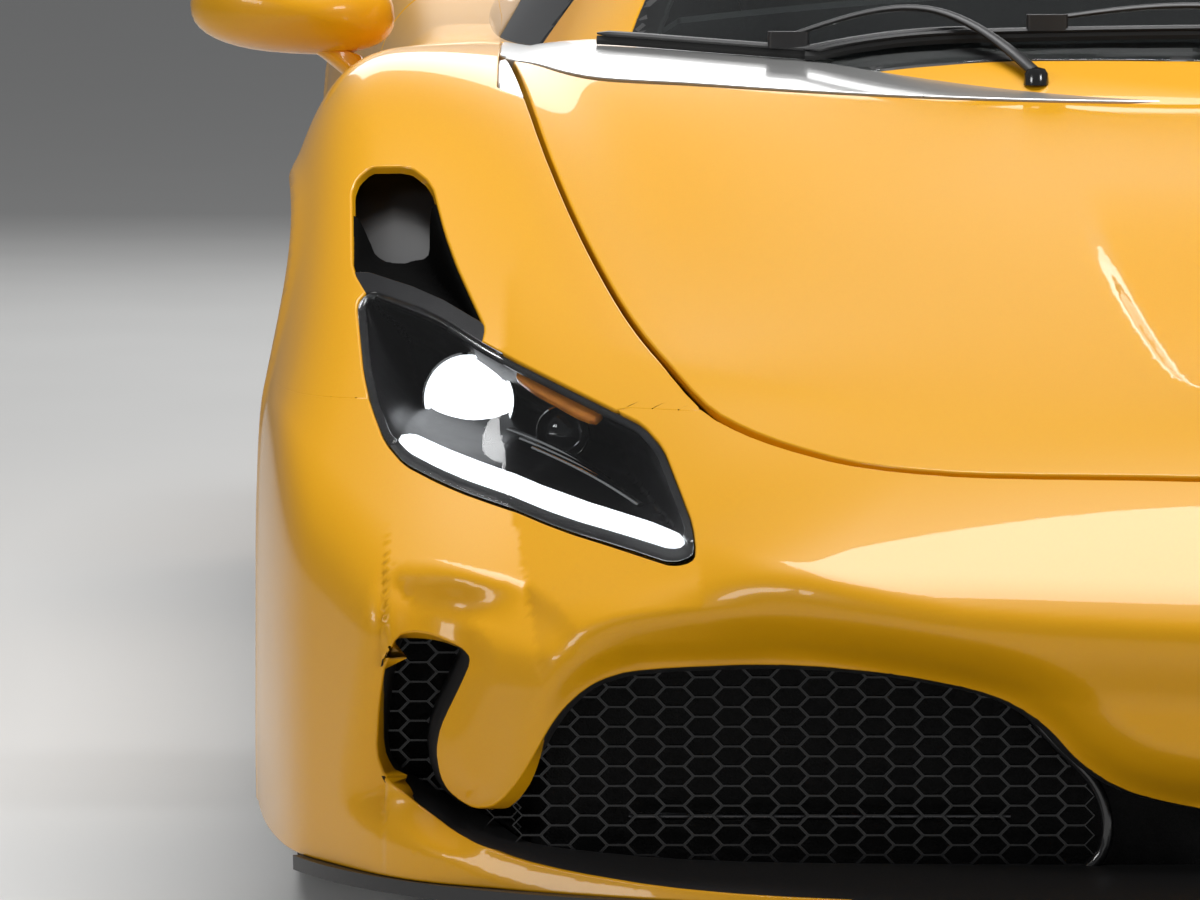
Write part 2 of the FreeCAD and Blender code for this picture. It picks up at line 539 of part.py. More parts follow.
for z0, z1 in DOOR_EYES:
    for low, high in ((z0 - 12, z0 - 2), (z1 + 2, z1 + 12)):
        pin_plates.append(block(760, hinge_x + 14, hinge_y - 14, hinge_y + 14, low, high))
front_rail = block(BOOT - 60, BOOT, bonnet_y - 60, FRONT_BULKHEAD_Y, TUB_Z, 260)
bonnet_brackets = []
for side in (-1, 1):
    x0 = BONNET_HINGE_X + (EYE_HALF + 2 if side > 0 else -EYE_HALF - 12)
    bonnet_brackets.append(block(x0, x0 + 10, bonnet_y - 14, FRONT_BULKHEAD_Y, bonnet_z - 20, bonnet_z + 14))
rear_rail = block(380, 440, REAR_BULKHEAD_Y + 14, TAIL_SEAM + 40, TUB_Z, 300)
structure = [floor, boot_box, front_bulkhead, rear_bulkhead, hinge_pillar, sill_box, tunnel, front_rail, rear_rail]
structure += bonnet_brackets
JACK_PAD = dim("jack_pad")
for pad_y in (FRONT_AXLE_Y + 470, REAR_AXLE_Y - 470 - JACK_PAD):
    structure.append(block(tub_half + 20, tub_half + 20 + JACK_PAD, pad_y, pad_y + JACK_PAD, FLOOR_Z - dim("jack_pad_depth"), FLOOR_Z))
tub = structure[0].fuse(structure[1:])
tub = tub.common(lower_inner.fuse(cabin_inner)).cut(
    [door_hole, arches, upright(swing_r + 4).common(block(700, FAR, hinge_y, 0, SILL_TOP - 20, 900))])
tub = one_solid(tub).fuse([plate.common(lower_inner) for plate in pin_plates])
pin_rods = [Part.makeCylinder(HINGE_PIN, z1 - z0 + 24, hinge_foot + Vector(0, 0, z0 - 12)) for z0, z1 in DOOR_EYES]
pin_rods.append(across(bonnet_y, bonnet_z, HINGE_PIN, BONNET_HINGE_X - EYE_HALF - 12, BONNET_HINGE_X + EYE_HALF + 12))
tub = tub.cut(pin_rods)
keep("chassis_tub", one_solid(whole(one_solid(tub))))

# Hinge pins. The engine cover's pins hang from brackets under the roof.
cover_brackets = []
for side in (-1, 1):
    x0 = COVER_HINGE_X + (EYE_HALF + 2 if side > 0 else -EYE_HALF - 12)
    cover_brackets.append(block(x0, x0 + 10, cover_y - 18, cover_y + 14, cover_z - 18, CUT_TOP).common(cabin_inner))
cover_pin = across(cover_y, cover_z, HINGE_PIN, COVER_HINGE_X - EYE_HALF - 12, COVER_HINGE_X + EYE_HALF + 12)
cover_brackets = [bracket.cut(cover_pin) for bracket in cover_brackets]
roof_shape = pieces["roof_frame"].Shape
roof_shape = roof_shape.fuse(cover_brackets + [mirrored(b) for b in cover_brackets])
pieces["roof_frame"].Shape = one_solid(roof_shape)
pin_rods.append(cover_pin)
keep("hinge_pins", Part.makeCompound(pin_rods + [mirrored(r) for r in pin_rods]))


# Wheels: each is turned about its own axle, outer side towards +X of its own frame
def body_sketch(body, role, name, points):
    sketch = body.newObject("Sketcher::SketchObject", name)
    plane = [f for f in body.Origin.OriginFeatures if f.Role == role][0]
    sketch.AttachmentSupport = [(plane, "")]
    sketch.MapMode = "FlatFace"
    for i, (a, b) in enumerate(zip(points, points[1:] + points[:1])):
        sketch.addGeometry(Part.LineSegment(Vector(a[0], a[1], 0), Vector(b[0], b[1], 0)), False)
    count = len(points)
    for i in range(count):
        sketch.addConstraint(Sketcher.Constraint("Coincident", i, 2, (i + 1) % count, 1))
    return sketch


def turned(name, points):
    """PartDesign body turned from a profile of (along the axle, radius) points."""
    body = doc.addObject("PartDesign::Body", name)
    body.Label = name
    sketch = body_sketch(body, "XY_Plane", name + "_profile", points)
    doc.recompute()
    turn = body.newObject("PartDesign::Revolution", name + "_turn")
    turn.Profile = sketch
    turn.ReferenceAxis = (sketch, ["H_Axis"])
    turn.Angle = 360
    doc.recompute()
    return body


RIM_R, RIM_WALL = dim("rim_radius"), dim("rim_wall")
BEAD_R = RIM_R - 14
WELL_R = BEAD_R - RIM_WALL
PAD_X, PAD_THICK, PAD_R = 35.0, 27.0, 84.0
SPOKE_COUNT = 5
WINDOWS = [  # half angle in degrees, middle angle in degrees, at the hub end and at the rim end
    ("wide", 13, 19, 0), ("slim", 3.5, 6.5, 36),
]


def tyre(name, width, radius):
    h, low = width / 2, BEAD_R + dim("seat_gap") * 0.6
    bead = h - 19 - dim("seat_gap")
    return turned(name, [(h - 10, radius), (bead, low), (-bead, low), (10 - h, radius)])


def rim(name, width):
    h = width / 2 - 11
    body = turned(name, [
        (-h, RIM_R), (-h + 8, BEAD_R), (h - 8, BEAD_R), (h, RIM_R), (h, WELL_R + 6),
        (h - 6, WELL_R), (PAD_X + PAD_THICK, PAD_R), (PAD_X + PAD_THICK, 0), (PAD_X, 0), (PAD_X, PAD_R),
        (h - 36, WELL_R), (-h, WELL_R)])
    for label, hub_angle, rim_angle, middle in WINDOWS:
        points = []
        for angle, r in ((middle - hub_angle, PAD_R + 12), (middle + hub_angle, PAD_R + 12),
                         (middle + rim_angle, WELL_R - 14), (middle, WELL_R - 9), (middle - rim_angle, WELL_R - 14)):
            points.append((r * math.cos(math.radians(angle)), r * math.sin(math.radians(angle))))
        sketch = body_sketch(body, "YZ_Plane", name + "_" + label, points)
        doc.recompute()
        pocket = body.newObject("PartDesign::Pocket", name + "_" + label + "_cut")
        pocket.Profile = sketch
        pocket.Type = "Length"
        pocket.Length = 2 * width
        pocket.Midplane = True
        doc.recompute()
        pattern = body.newObject("PartDesign::PolarPattern", name + "_" + label + "_ring")
        pattern.Originals = [pocket]
        axis = [f for f in body.Origin.OriginFeatures if f.Role == "X_Axis"][0]
        pattern.Axis = (axis, [""])
        pattern.Angle = 360
        pattern.Occurrences = SPOKE_COUNT
        body.Tip = pattern
        doc.recompute()
    return body


HUB_R, STUB_R, DISC = dim("hub_radius"), dim("stub_radius"), dim("disc_thick")
DISC_X = -44.0
STUB_END = 18.0


def hub_disc(name, disc_r):
    bore = STUB_R + dim("pin_clearance")
    return turned(name, [
        (-50, bore), (STUB_END + 2, bore), (STUB_END + 2, 0), (PAD_X, 0), (PAD_X, PAD_R - 6), (PAD_X - 12, PAD_R - 6),
        (PAD_X - 12, HUB_R + 14), (DISC_X + DISC, HUB_R + 14), (DISC_X + DISC, disc_r), (DISC_X, disc_r),
        (DISC_X, HUB_R + 6), (-50, HUB_R)])


CORNERS = [
    # name, axle y, half track, tyre radius, tyre width, disc radius, side
    ("front_left", FRONT_AXLE_Y, dim("track_front") / 2, dim("tyre_front_radius"), dim("tyre_front_width"), dim("disc_front_radius"), 1),
    ("front_right", FRONT_AXLE_Y, dim("track_front") / 2, dim("tyre_front_radius"), dim("tyre_front_width"), dim("disc_front_radius"), -1),
    ("rear_left", REAR_AXLE_Y, dim("track_rear") / 2, dim("tyre_rear_radius"), dim("tyre_rear_width"), dim("disc_rear_radius"), 1),
    ("rear_right", REAR_AXLE_Y, dim("track_rear") / 2, dim("tyre_rear_radius"), dim("tyre_rear_width"), dim("disc_rear_radius"), -1),
]
BLOCK_X0, BLOCK_X1 = -dim("kingpin_offset") - 25, -dim("kingpin_offset") + 26
for name, axle_y, half_track, radius, width, disc_r, side in CORNERS:
    placement = Placement(Vector(side * half_track, axle_y, radius), Rotation(Vector(0, 0, 1), 0 if side > 0 else 180))
    for label, body in (("tyre_", tyre("tyre_" + name, width, radius)), ("rim_", rim("rim_" + name, width)),
                        ("hub_disc_", hub_disc("hub_disc_" + name, disc_r))):
        body.Placement = placement
        pieces[label + name] = body
doc.recompute()


# Uprights with stub axle and caliper, in the wheel's own frame, outer side towards +X
def caliper(disc_r):
    ring = Part.makeCylinder(disc_r + 19, 70, Vector(BLOCK_X1, 0, 0), Vector(1, 0, 0))
    ring = ring.cut(Part.makeCylinder(disc_r - 75, 72, Vector(BLOCK_X1 - 1, 0, 0), Vector(1, 0, 0)))
    slot = Part.makeCylinder(disc_r + 7, DISC + 12, Vector(DISC_X - 6, 0, 0), Vector(1, 0, 0))
    spread = 0.55 * disc_r
    wedge = prism([Vector(BLOCK_X1 - 2, 0, 0), Vector(BLOCK_X1 - 2, 400, spread * 2), Vector(BLOCK_X1 - 2, 400, -spread * 2)],
                  Vector(80, 0, 0))
    foot = block(BLOCK_X1 - 16, BLOCK_X1, 40, disc_r - 20, -30, 30)
    return ring.common(wedge).cut(slot).fuse(foot)


def upright_block(disc_r, height):
    stub = Part.makeCylinder(STUB_R, STUB_END - BLOCK_X1 + 1, Vector(BLOCK_X1 - 1, 0, 0), Vector(1, 0, 0))
    boss = Part.makeCylinder(62, BLOCK_X1 - BLOCK_X0 - 6, Vector(BLOCK_X0 + 6, 0, 0), Vector(1, 0, 0))
    body = block(BLOCK_X0, BLOCK_X1, -38, 38, -height, height)
    return body.fuse([stub, boss, caliper(disc_r)])


def at_corner(shape, corner):
    name, axle_y, half_track, radius, width, disc_r, side = corner
    if side < 0:
        shape = mirrored(shape)
    shape.translate(Vector(side * half_track, axle_y, radius))
    return shape


KINGPIN_R = dim("kingpin_radius")
KINGPIN_X = -dim("kingpin_offset")
UPRIGHT_HALF = 105.0
ARM_GAP, ARM_EYE = 2.0, 34.0
kingpin_hole = Part.makeCylinder(KINGPIN_R + dim("pin_clearance"), 2 * UPRIGHT_HALF + 20,
                                 Vector(KINGPIN_X, 0, -UPRIGHT_HALF - 10))
front_upright = one_solid(upright_block(dim("disc_front_radius"), UPRIGHT_HALF).cut(kingpin_hole))
rear_upright = one_solid(upright_block(dim("disc_rear_radius"), UPRIGHT_HALF))
for corner in CORNERS[:2]:
    keep("knuckle_" + corner[0], at_corner(front_upright.copy(), corner))


def wishbone(half_track, z, spread, foot_x):
    """A-arm from two feet on the frame to an eye on the kingpin, in the wheel's own frame."""
    foot = foot_x - half_track
    width = 14
    legs = []
    for sign in (-1, 1):
        a, b = Vector(foot, sign * spread, z), Vector(KINGPIN_X, 0, z)
        across_leg = Vector(-(b - a).y, (b - a).x, 0).normalize() * width
        legs.append(prism([a - across_leg, b - across_leg, b + across_leg, a + across_leg], Vector(0, 0, ARM_EYE - 8)))
    eye = Part.makeCylinder(26, ARM_EYE - 8, Vector(KINGPIN_X, 0, z))
    arm = legs[0].fuse([legs[1], eye])
    return arm.common(block(foot, 200, -400, 400, z - 1, z + 60))


def suspension(corner, foot_x, spread, kingpin):
    half_track = corner[2]
    top = wishbone(half_track, UPRIGHT_HALF + ARM_GAP if kingpin else UPRIGHT_HALF, spread, foot_x)
    low = wishbone(half_track, -UPRIGHT_HALF - ARM_EYE + 8 - (ARM_GAP if kingpin else 0), spread, foot_x)
    shapes = [top, low]
    if kingpin:
        shapes.append(Part.makeCylinder(KINGPIN_R, 2 * UPRIGHT_HALF + 2 * ARM_EYE - 8, Vector(KINGPIN_X, 0, -UPRIGHT_HALF - ARM_EYE + 4)))
    return shapes[0].fuse(shapes[1:])


front_arms = at_corner(suspension(CORNERS[0], BOOT, 130, True), CORNERS[0])
keep("suspension_front", both_sides(front_arms))
rear_arms = at_corner(suspension(CORNERS[2], 440, 150, False).fuse(rear_upright), CORNERS[2])
rear_tower = block(400, 440, REAR_AXLE_Y - 190, REAR_AXLE_Y + 190, 300, 500)
keep("suspension_rear", both_sides(one_solid(rear_arms.fuse(rear_tower))))

# Engine and gearbox as one plain block between the rails
engine = block(-dim("engine_width") / 2, dim("engine_width") / 2, REAR_BULKHEAD_Y + 60, REAR_BULKHEAD_Y + 60 + dim("engine_length"),
               TUB_Z, TUB_Z + dim("engine_height"))
gearbox = block(-210, 210, REAR_BULKHEAD_Y + 60 + dim("engine_length"), REAR_AXLE_Y + 200, TUB_Z, TUB_Z + 330)
keep("engine", engine.fuse(gearbox))

# Cabin
SEAT_X, SEAT_W = dim("seat_centre"), dim("seat_width")
SEAT_SIDE = [(-330, TUB_Z), (-340, 290), (-300, 315), (60, 265), (110, 300), (262, 800), (300, 985), (345, 1000), (372, 960),
             (330, 700), (250, 300), (230, TUB_Z)]
seat = side_prism(SEAT_SIDE, SEAT_X - SEAT_W / 2, SEAT_X + SEAT_W / 2, 25)
seat = seat.cut([side_prism([(-500, 240), (60, 262), (110, 300), (262, 800), (300, 1100), (-500, 1100)], SEAT_X - 165, SEAT_X + 165).cut(
    side_prism([(-500, 200), (-340, 270), (80, 232), (130, 250), (290, 800), (320, 1100), (-500, 1100)], SEAT_X - 166, SEAT_X + 166)),
    block(SEAT_X + 150, SEAT_X + 300, 150, 400, 800, 1100), block(SEAT_X - 300, SEAT_X - 150, 150, 400, 800, 1100)])
keep("seats", both_sides(one_solid(seat)))
DASH_SIDE = [(FRONT_BULKHEAD_Y, 560), (FRONT_BULKHEAD_Y, 770), (-560, 790), (-470, 770), (-430, 700), (-455, 640), (-560, 590)]
dash = side_prism(DASH_SIDE, -1, FAR, 12).common(lower_inner.fuse(cabin_inner)).common(block(-1, 690, -900, 0, 500, 900))
console = side_prism([(FRONT_BULKHEAD_Y, TUB_Z + 190), (FRONT_BULKHEAD_Y, 600), (-520, 600), (-380, 420), (300, 400), (300, TUB_Z + 190)], -1, 100)
dash = one_solid(dash.fuse(console))
WHEEL_TILT = math.radians(24)
WHEEL_CENTRE = Vector(SEAT_X, -250, 700)
column_axis = Vector(0, math.cos(WHEEL_TILT), math.sin(WHEEL_TILT))
column = rod(WHEEL_CENTRE - column_axis * 280, WHEEL_CENTRE - column_axis * 90, 38)
column_bore = rod(WHEEL_CENTRE - column_axis * 240, WHEEL_CENTRE - column_axis * 80, 14 + dim("pin_clearance"))
dash_whole = one_solid(whole(dash))
binnacle = rod(WHEEL_CENTRE + Vector(0, -250, 60), WHEEL_CENTRE + Vector(0, -130, 75), 110)
dash_whole = one_solid(dash_whole.fuse([column, binnacle.cut(rod(WHEEL_CENTRE + Vector(0, -150, 72), WHEEL_CENTRE + Vector(0, -120, 76), 100))]).cut(column_bore))
keep("dashboard", dash_whole)
grip = Part.makeTorus(dim("steering_wheel_radius"), 14)
boss = Part.makeCylinder(52, 34, Vector(0, 0, -30))
spokes = [block(-dim("steering_wheel_radius"), dim("steering_wheel_radius"), -18, 18, -12, 4), block(-16, 16, -dim("steering_wheel_radius"), 0, -12, 4)]
shaft = Part.makeCylinder(14, 210, Vector(0, 0, -225))
wheel = grip.fuse([boss, shaft] + spokes)
wheel.Placement = Placement(WHEEL_CENTRE, Rotation(Vector(0, 0, 1), column_axis))
keep("steering_wheel", one_solid(wheel))

# Lamps
LAMP_WALL = 12.0
lens = one_solid(lower_outer.common(lamp_zone).cut([body_loft(4), lower_inner]))
keep("headlamp_lenses", both_sides(lens))
deeper = body_loft(SKIN + LAMP_WALL)


def grown_prism(points, grow, y0, y1):
    flat = rounded([Vector(x, y0, z) for x, z in points], 12)
    return Part.Face(flat.makeOffset2D(grow)).extrude(Vector(0, y1 - y0, 0))


lamp_back = one_solid(lower_inner.common(grown_prism(LAMP, 10, NOSE_Y - 50, FRONT_AXLE_Y - 100)).cut([deeper, bonnet_prism(2 * GAP)]))
keep("headlamps", both_sides(lamp_back))
duct_back = one_solid(lower_inner.common(grown_prism(LAMP_DUCT, 8, NOSE_Y - 50, FRONT_AXLE_Y + 40)).cut(
    [deeper, lamp_back, bonnet_prism(2 * GAP), arches]))
keep("lamp_ducts", both_sides(duct_back))
tail_lamp = [tail_rod(x, dim("tail_lamp_height"), dim("tail_lamp_radius"), TAIL_Y - 110, TAIL_Y - 45) for x in LAMP_SPOTS]
keep("tail_lamps", Part.makeCompound(tail_lamp + [mirrored(t) for t in tail_lamp]))


# Honeycomb grilles
def honeycomb(outline, y, grow, x_max):
    """Flat grille with hexagonal holes, a little larger than the throat it stands behind."""
    rim_wire = rounded([Vector(x, y, z) for x, z in outline], 24).makeOffset2D(grow)
    inner_face = Part.Face(rounded([Vector(x, y, z) for x, z in outline], 24).makeOffset2D(-4))
    pitch, bar = dim("mesh_pitch"), dim("mesh_bar")
    r = (pitch - bar) / math.sqrt(3)
    wires = [rim_wire]
    row = 0
    z = rim_wire.BoundBox.ZMin
    while z < rim_wire.BoundBox.ZMax:
        count = int(x_max / pitch) + 1
        for i in range(-count, count + 1):
            cx = (i + (0.5 if row % 2 else 0)) * pitch
            ring = [Vector(cx + r * math.sin(math.radians(60 * k)), y, z + r * math.cos(math.radians(60 * k))) for k in range(6)]
            if all(inner_face.isInside(p, 0.01, True) for p in ring):
                wires.append(Part.makePolygon(ring + [ring[0]]))
        z += pitch * math.sqrt(3) / 2
        row += 1
    return Part.Face(wires, "Part::FaceMakerBullseye").extrude(Vector(0, dim("mesh_thick"), 0))


main_outline = [(x, z) for x, z in MAIN_THROAT if x > 0]
main_outline = main_outline + [(-x, z) for x, z in reversed(main_outline)]
main_grille = honeycomb(main_outline, GRILLE_Y, DUCT_WALL, 760)
side_grille = honeycomb(SIDE_THROAT, SIDE_GRILLE_Y, DUCT_WALL, 900)
keep("front_grilles", Part.makeCompound([main_grille, side_grille, mirrored(side_grille)]))
tail_outline = [(x, z) for x, z in TAIL_MESH if x > 0]
tail_outline += [(-x, z) for x, z in reversed(tail_outline)]
keep("rear_grille", honeycomb(tail_outline, REAR_GRILLE_Y, DUCT_WALL, 520))
window = block(-1, 560, REAR_BULKHEAD_Y + 4, REAR_BULKHEAD_Y + 4 + GLASS, 780, CUT_TOP).common(cabin_inner).cut(
    pieces["chassis_tub"].Shape)
keep("rear_window", one_solid(whole(one_solid(window))))

# Splitter, diffuser, exhausts, mirrors, wipers
splitter = block(-1, FAR, NOSE_Y - 60, SIDE_GRILLE_Y + 60, FLOOR_Z - 14, FLOOR_Z).common(
    plan_loft(-6)).common(body_loft(-6))
keep("front_splitter", one_solid(whole(splitter.common(LEFT))))
DIFFUSER_Y0 = TAIL_SEAM + 40
diffuser_side = [(DIFFUSER_Y0, FLOOR_Z), (DIFFUSER_Y0, TUB_Z), (TAIL_Y - 70, 292), (TAIL_Y - 70, 280)]
diffuser = side_prism(diffuser_side, -1, 440)
fins = [side_prism([(DIFFUSER_Y0, FLOOR_Z), (TAIL_Y - 60, 130), (TAIL_Y - 60, 282), (DIFFUSER_Y0, TUB_Z)], x - 3, x + 3) for x in (140, 290, 437)]
diffuser = diffuser.fuse(fins)
keep("rear_diffuser", one_solid(whole(one_solid(diffuser))))
pipe_y0, pipe_y1 = TAIL_Y - 300, TAIL_Y - 30
pipe = rod(Vector(dim("exhaust_half_spacing"), pipe_y0, dim("exhaust_height")), Vector(dim("exhaust_half_spacing"), pipe_y1, dim("exhaust_height")), dim("exhaust_radius"))
pipe = pipe.cut(rod(Vector(dim("exhaust_half_spacing"), pipe_y0 - 1, dim("exhaust_height")), Vector(dim("exhaust_half_spacing"), pipe_y1 + 1, dim("exhaust_height")), dim("exhaust_radius") - dim("exhaust_wall")))
muffler = block(-1, 660, pipe_y0 - 160, pipe_y0, 300, 440)
keep("exhaust_pipes", one_solid(whole(muffler.fuse(pipe))))

MIRROR_X, MIRROR_Y, MIRROR_Z = 975.0, -562.0, 890.0
MIRROR_HALF_LENGTH, MIRROR_HALF_HEIGHT = 112.0, 50.0
# Each row: y from MIRROR_Y, share of the full outline
MIRROR_SECTIONS = [(-62, 0.40), (-48, 0.72), (-18, 0.96), (22, 1.0)]


def mirror_section(offset, share):
    """A lens of two arcs across the car."""
    y, half, rise = MIRROR_Y + offset, MIRROR_HALF_LENGTH * share, MIRROR_HALF_HEIGHT * share
    ends = [Vector(MIRROR_X - half, y, MIRROR_Z), Vector(MIRROR_X + half, y, MIRROR_Z)]
    top, low = Vector(MIRROR_X, y, MIRROR_Z + rise), Vector(MIRROR_X, y, MIRROR_Z - rise)
    return Part.Wire([Part.Arc(ends[0], top, ends[1]).toShape(), Part.Arc(ends[1], low, ends[0]).toShape()])


mirror_shell = Part.makeLoft([mirror_section(*row) for row in MIRROR_SECTIONS], True, True)
stalk = prism([Vector(872, MIRROR_Y, 720), Vector(914, MIRROR_Y, 720), Vector(990, MIRROR_Y, 870), Vector(940, MIRROR_Y, 870)],
              Vector(0, 20, 0))
stalk = one_solid(stalk.cut(lower_outer.common(block(840, 1000, MIRROR_Y - 30, MIRROR_Y + 50, 600, 900))))
mirror_left = one_solid(mirror_shell.fuse(stalk))
keep("mirror_left", mirror_left)
keep("mirror_right", mirrored(mirror_left))


def both_wipers():
    """Two arms on their spindles, lying just over the glass. Each row: spindle x, tip x, tip y."""
    arms = []
    for spindle_x, tip_x, tip_y in ((250, -300, -900), (-180, -545, -872)):
        foot = seat_height(lower_outer, abs(spindle_x), SPINDLE_Y, SPINDLE_R) + dim("seat_gap")
        tip_z = skin_height(cabin_outer, abs(tip_x), tip_y) + 22
        spindle = rod(Vector(spindle_x, SPINDLE_Y, foot), Vector(spindle_x, SPINDLE_Y, foot + 20), SPINDLE_R)
        arm = rod(Vector(spindle_x, SPINDLE_Y, foot + 14), Vector(tip_x, tip_y, tip_z), 5)
        arms.append(one_solid(spindle.fuse(arm)))
    return Part.makeCompound(arms)


SPINDLE_Y, SPINDLE_R = NOSE_Y + 1300, 10.0
keep("wipers", both_wipers())

doc.recompute()
for item in doc.Objects:
    assert not {"Invalid", "Error"} & set(item.State), item.Name
os.makedirs("parts", exist_ok=True)
for name, piece in pieces.items():
    shape = piece.Shape
    assert not shape.isNull() and shape.isValid() and shape.Solids, name
    shape.exportStep("parts/%s.step" % name)
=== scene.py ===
import json
import math

import bmesh
import bpy
import numpy as np
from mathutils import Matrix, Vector

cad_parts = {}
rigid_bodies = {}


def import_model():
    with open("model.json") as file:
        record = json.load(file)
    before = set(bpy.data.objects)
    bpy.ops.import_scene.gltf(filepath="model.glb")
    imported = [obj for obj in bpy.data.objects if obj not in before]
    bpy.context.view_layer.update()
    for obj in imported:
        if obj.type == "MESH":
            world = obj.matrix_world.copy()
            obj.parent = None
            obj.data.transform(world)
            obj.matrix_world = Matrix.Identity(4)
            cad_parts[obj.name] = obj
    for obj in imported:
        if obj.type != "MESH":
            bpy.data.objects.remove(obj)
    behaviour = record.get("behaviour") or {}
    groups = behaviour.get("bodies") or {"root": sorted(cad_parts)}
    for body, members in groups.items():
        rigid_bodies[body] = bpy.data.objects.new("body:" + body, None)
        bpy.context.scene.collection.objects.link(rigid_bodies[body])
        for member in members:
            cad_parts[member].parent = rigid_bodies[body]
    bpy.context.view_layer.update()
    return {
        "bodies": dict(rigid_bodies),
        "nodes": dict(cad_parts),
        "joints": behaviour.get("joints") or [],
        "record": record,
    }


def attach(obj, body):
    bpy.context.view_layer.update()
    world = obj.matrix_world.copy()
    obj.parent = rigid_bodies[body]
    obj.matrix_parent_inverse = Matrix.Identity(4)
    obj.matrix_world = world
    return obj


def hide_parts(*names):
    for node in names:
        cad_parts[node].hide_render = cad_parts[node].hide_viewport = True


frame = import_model()
NODES = frame["nodes"]

# Metres, in the frame's own axes: the nose points to -Y, the car's left is +X.
NOSE_Y, TAIL_Y = -2.3055, 2.3055
FRONT_AXLE_Y, REAR_AXLE_Y = -1.1855, 1.4645
HALF_WIDTH = 0.9895
FLOOR_Z, SILL_TOP, BUMPER_TOP = 0.112, 0.262, 0.540
TAIL_SEAM = REAR_AXLE_Y + 0.440
SHUT_GAP = 0.006
EDGE_RADIUS = 0.0026
HINGE_X, HINGE_Y = HALF_WIDTH - 0.120, -0.666
SWING_RADIUS = math.hypot(0.080, 0.066)
DOOR_REAR_RADIUS = math.hypot(HALF_WIDTH - 0.040 - HINGE_X, 0.420 - HINGE_Y)
BONNET_PIVOT = (-0.917, 0.700, 0.165)      # y, z and swing radius
COVER_PIVOT = (0.700, 1.085, 0.105)
COWL_HALF_WIDTH = 0.742
ARCH_FRONT, ARCH_REAR = 0.374, 0.380
TYRE_FRONT, TYRE_REAR = 0.340, 0.3455

# Body form
# Each row: y, centre z, valley x, valley z, crest x, crest z, shoulder x, shoulder z, sill x
BODY_STATIONS = np.array([
    (NOSE_Y - 0.095, 0.300, 0.540, 0.262, 0.850, 0.160, 1.050, 0.100, 1.060),
    (NOSE_Y + 0.105, 0.440, 0.540, 0.405, 0.850, 0.305, 1.050, 0.200, 1.060),
    (NOSE_Y + 0.255, 0.520, 0.540, 0.478, 0.850, 0.388, 1.050, 0.300, 1.060),
    (NOSE_Y + 0.405, 0.572, 0.545, 0.545, 0.850, 0.475, 1.020, 0.400, 1.040),
    (FRONT_AXLE_Y - 0.515, 0.630, 0.560, 0.606, 0.850, 0.590, 0.985, 0.500, 1.000),
    (FRONT_AXLE_Y - 0.265, 0.695, 0.600, 0.682, 0.845, 0.728, 0.965, 0.640, 0.975),
    (FRONT_AXLE_Y, 0.756, 0.640, 0.772, 0.845, 0.838, 0.960, 0.765, 0.970),
    (FRONT_AXLE_Y + 0.285, 0.812, 0.700, 0.838, 0.825, 0.850, 0.938, 0.780, 0.958),
    (FRONT_AXLE_Y + 0.585, 0.820, 0.720, 0.830, 0.810, 0.838, 0.918, 0.770, 0.942),
    (0.0, 0.800, 0.720, 0.806, 0.810, 0.822, 0.905, 0.750, 0.930),
    (0.500, 0.810, 0.720, 0.826, 0.820, 0.855, 0.925, 0.780, 0.948),
    (REAR_AXLE_Y - 0.465, 0.850, 0.660, 0.872, 0.830, 0.918, 0.960, 0.842, 0.972),
    (REAR_AXLE_Y, 0.880, 0.620, 0.896, 0.832, 0.948, 0.970, 0.860, 0.980),
    (REAR_AXLE_Y + 0.385, 0.890, 0.580, 0.898, 0.820, 0.930, 0.948, 0.850, 0.962),
    (TAIL_Y - 0.105, 0.886, 0.540, 0.888, 0.790, 0.896, 0.905, 0.830, 0.925),
    (TAIL_Y + 0.095, 0.882, 0.520, 0.882, 0.740, 0.884, 0.865, 0.810, 0.885),
])
# Each row: y, top z, rail x, rail z, base x
CABIN_STATIONS = np.array([
    (FRONT_AXLE_Y + 0.085, 0.770, 0.480, 0.745, 0.560),
    (FRONT_AXLE_Y + 0.285, 0.856, 0.560, 0.818, 0.690),
    (FRONT_AXLE_Y + 0.585, 0.990, 0.566, 0.940, 0.752),
    (FRONT_AXLE_Y + 0.885, 1.100, 0.545, 1.045, 0.786),
    (0.0, 1.175, 0.525, 1.112, 0.806),
    (0.280, 1.206, 0.515, 1.140, 0.816),
    (0.620, 1.188, 0.505, 1.124, 0.806),
    (1.000, 1.115, 0.490, 1.060, 0.770),
    (REAR_AXLE_Y - 0.065, 1.010, 0.470, 0.968, 0.720),
    (REAR_AXLE_Y + 0.285, 0.895, 0.450, 0.868, 0.660),
    (REAR_AXLE_Y + 0.485, 0.820, 0.440, 0.800, 0.620),
])
CABIN_BASE = 0.740
# Each row: z, how far the nose and the tail stand back
PLAN_LEVELS = np.array([
    (0.040, 0.012, 0.095), (0.372, 0.0, 0.060), (0.700, 0.045, 0.030), (0.900, 0.105, 0.0),
    (1.300, 0.160, 0.0)])
# Each row: x, distance behind the nose or ahead of the tail
NOSE_PLAN = np.array([
    (-0.3, 0.025), (0.0, 0.0), (0.3, 0.025), (0.6, 0.100), (0.735, 0.172), (0.840, 0.255),
    (0.906, 0.365), (0.950, 0.505), (1.014, 1.120)])
TAIL_PLAN = np.array([
    (-0.41, 0.010), (0.0, 0.0), (0.41, 0.010), (0.82, 0.040), (0.90, 0.078), (0.965, 0.155),
    (1.0, 0.270), (1.02, 0.420)])


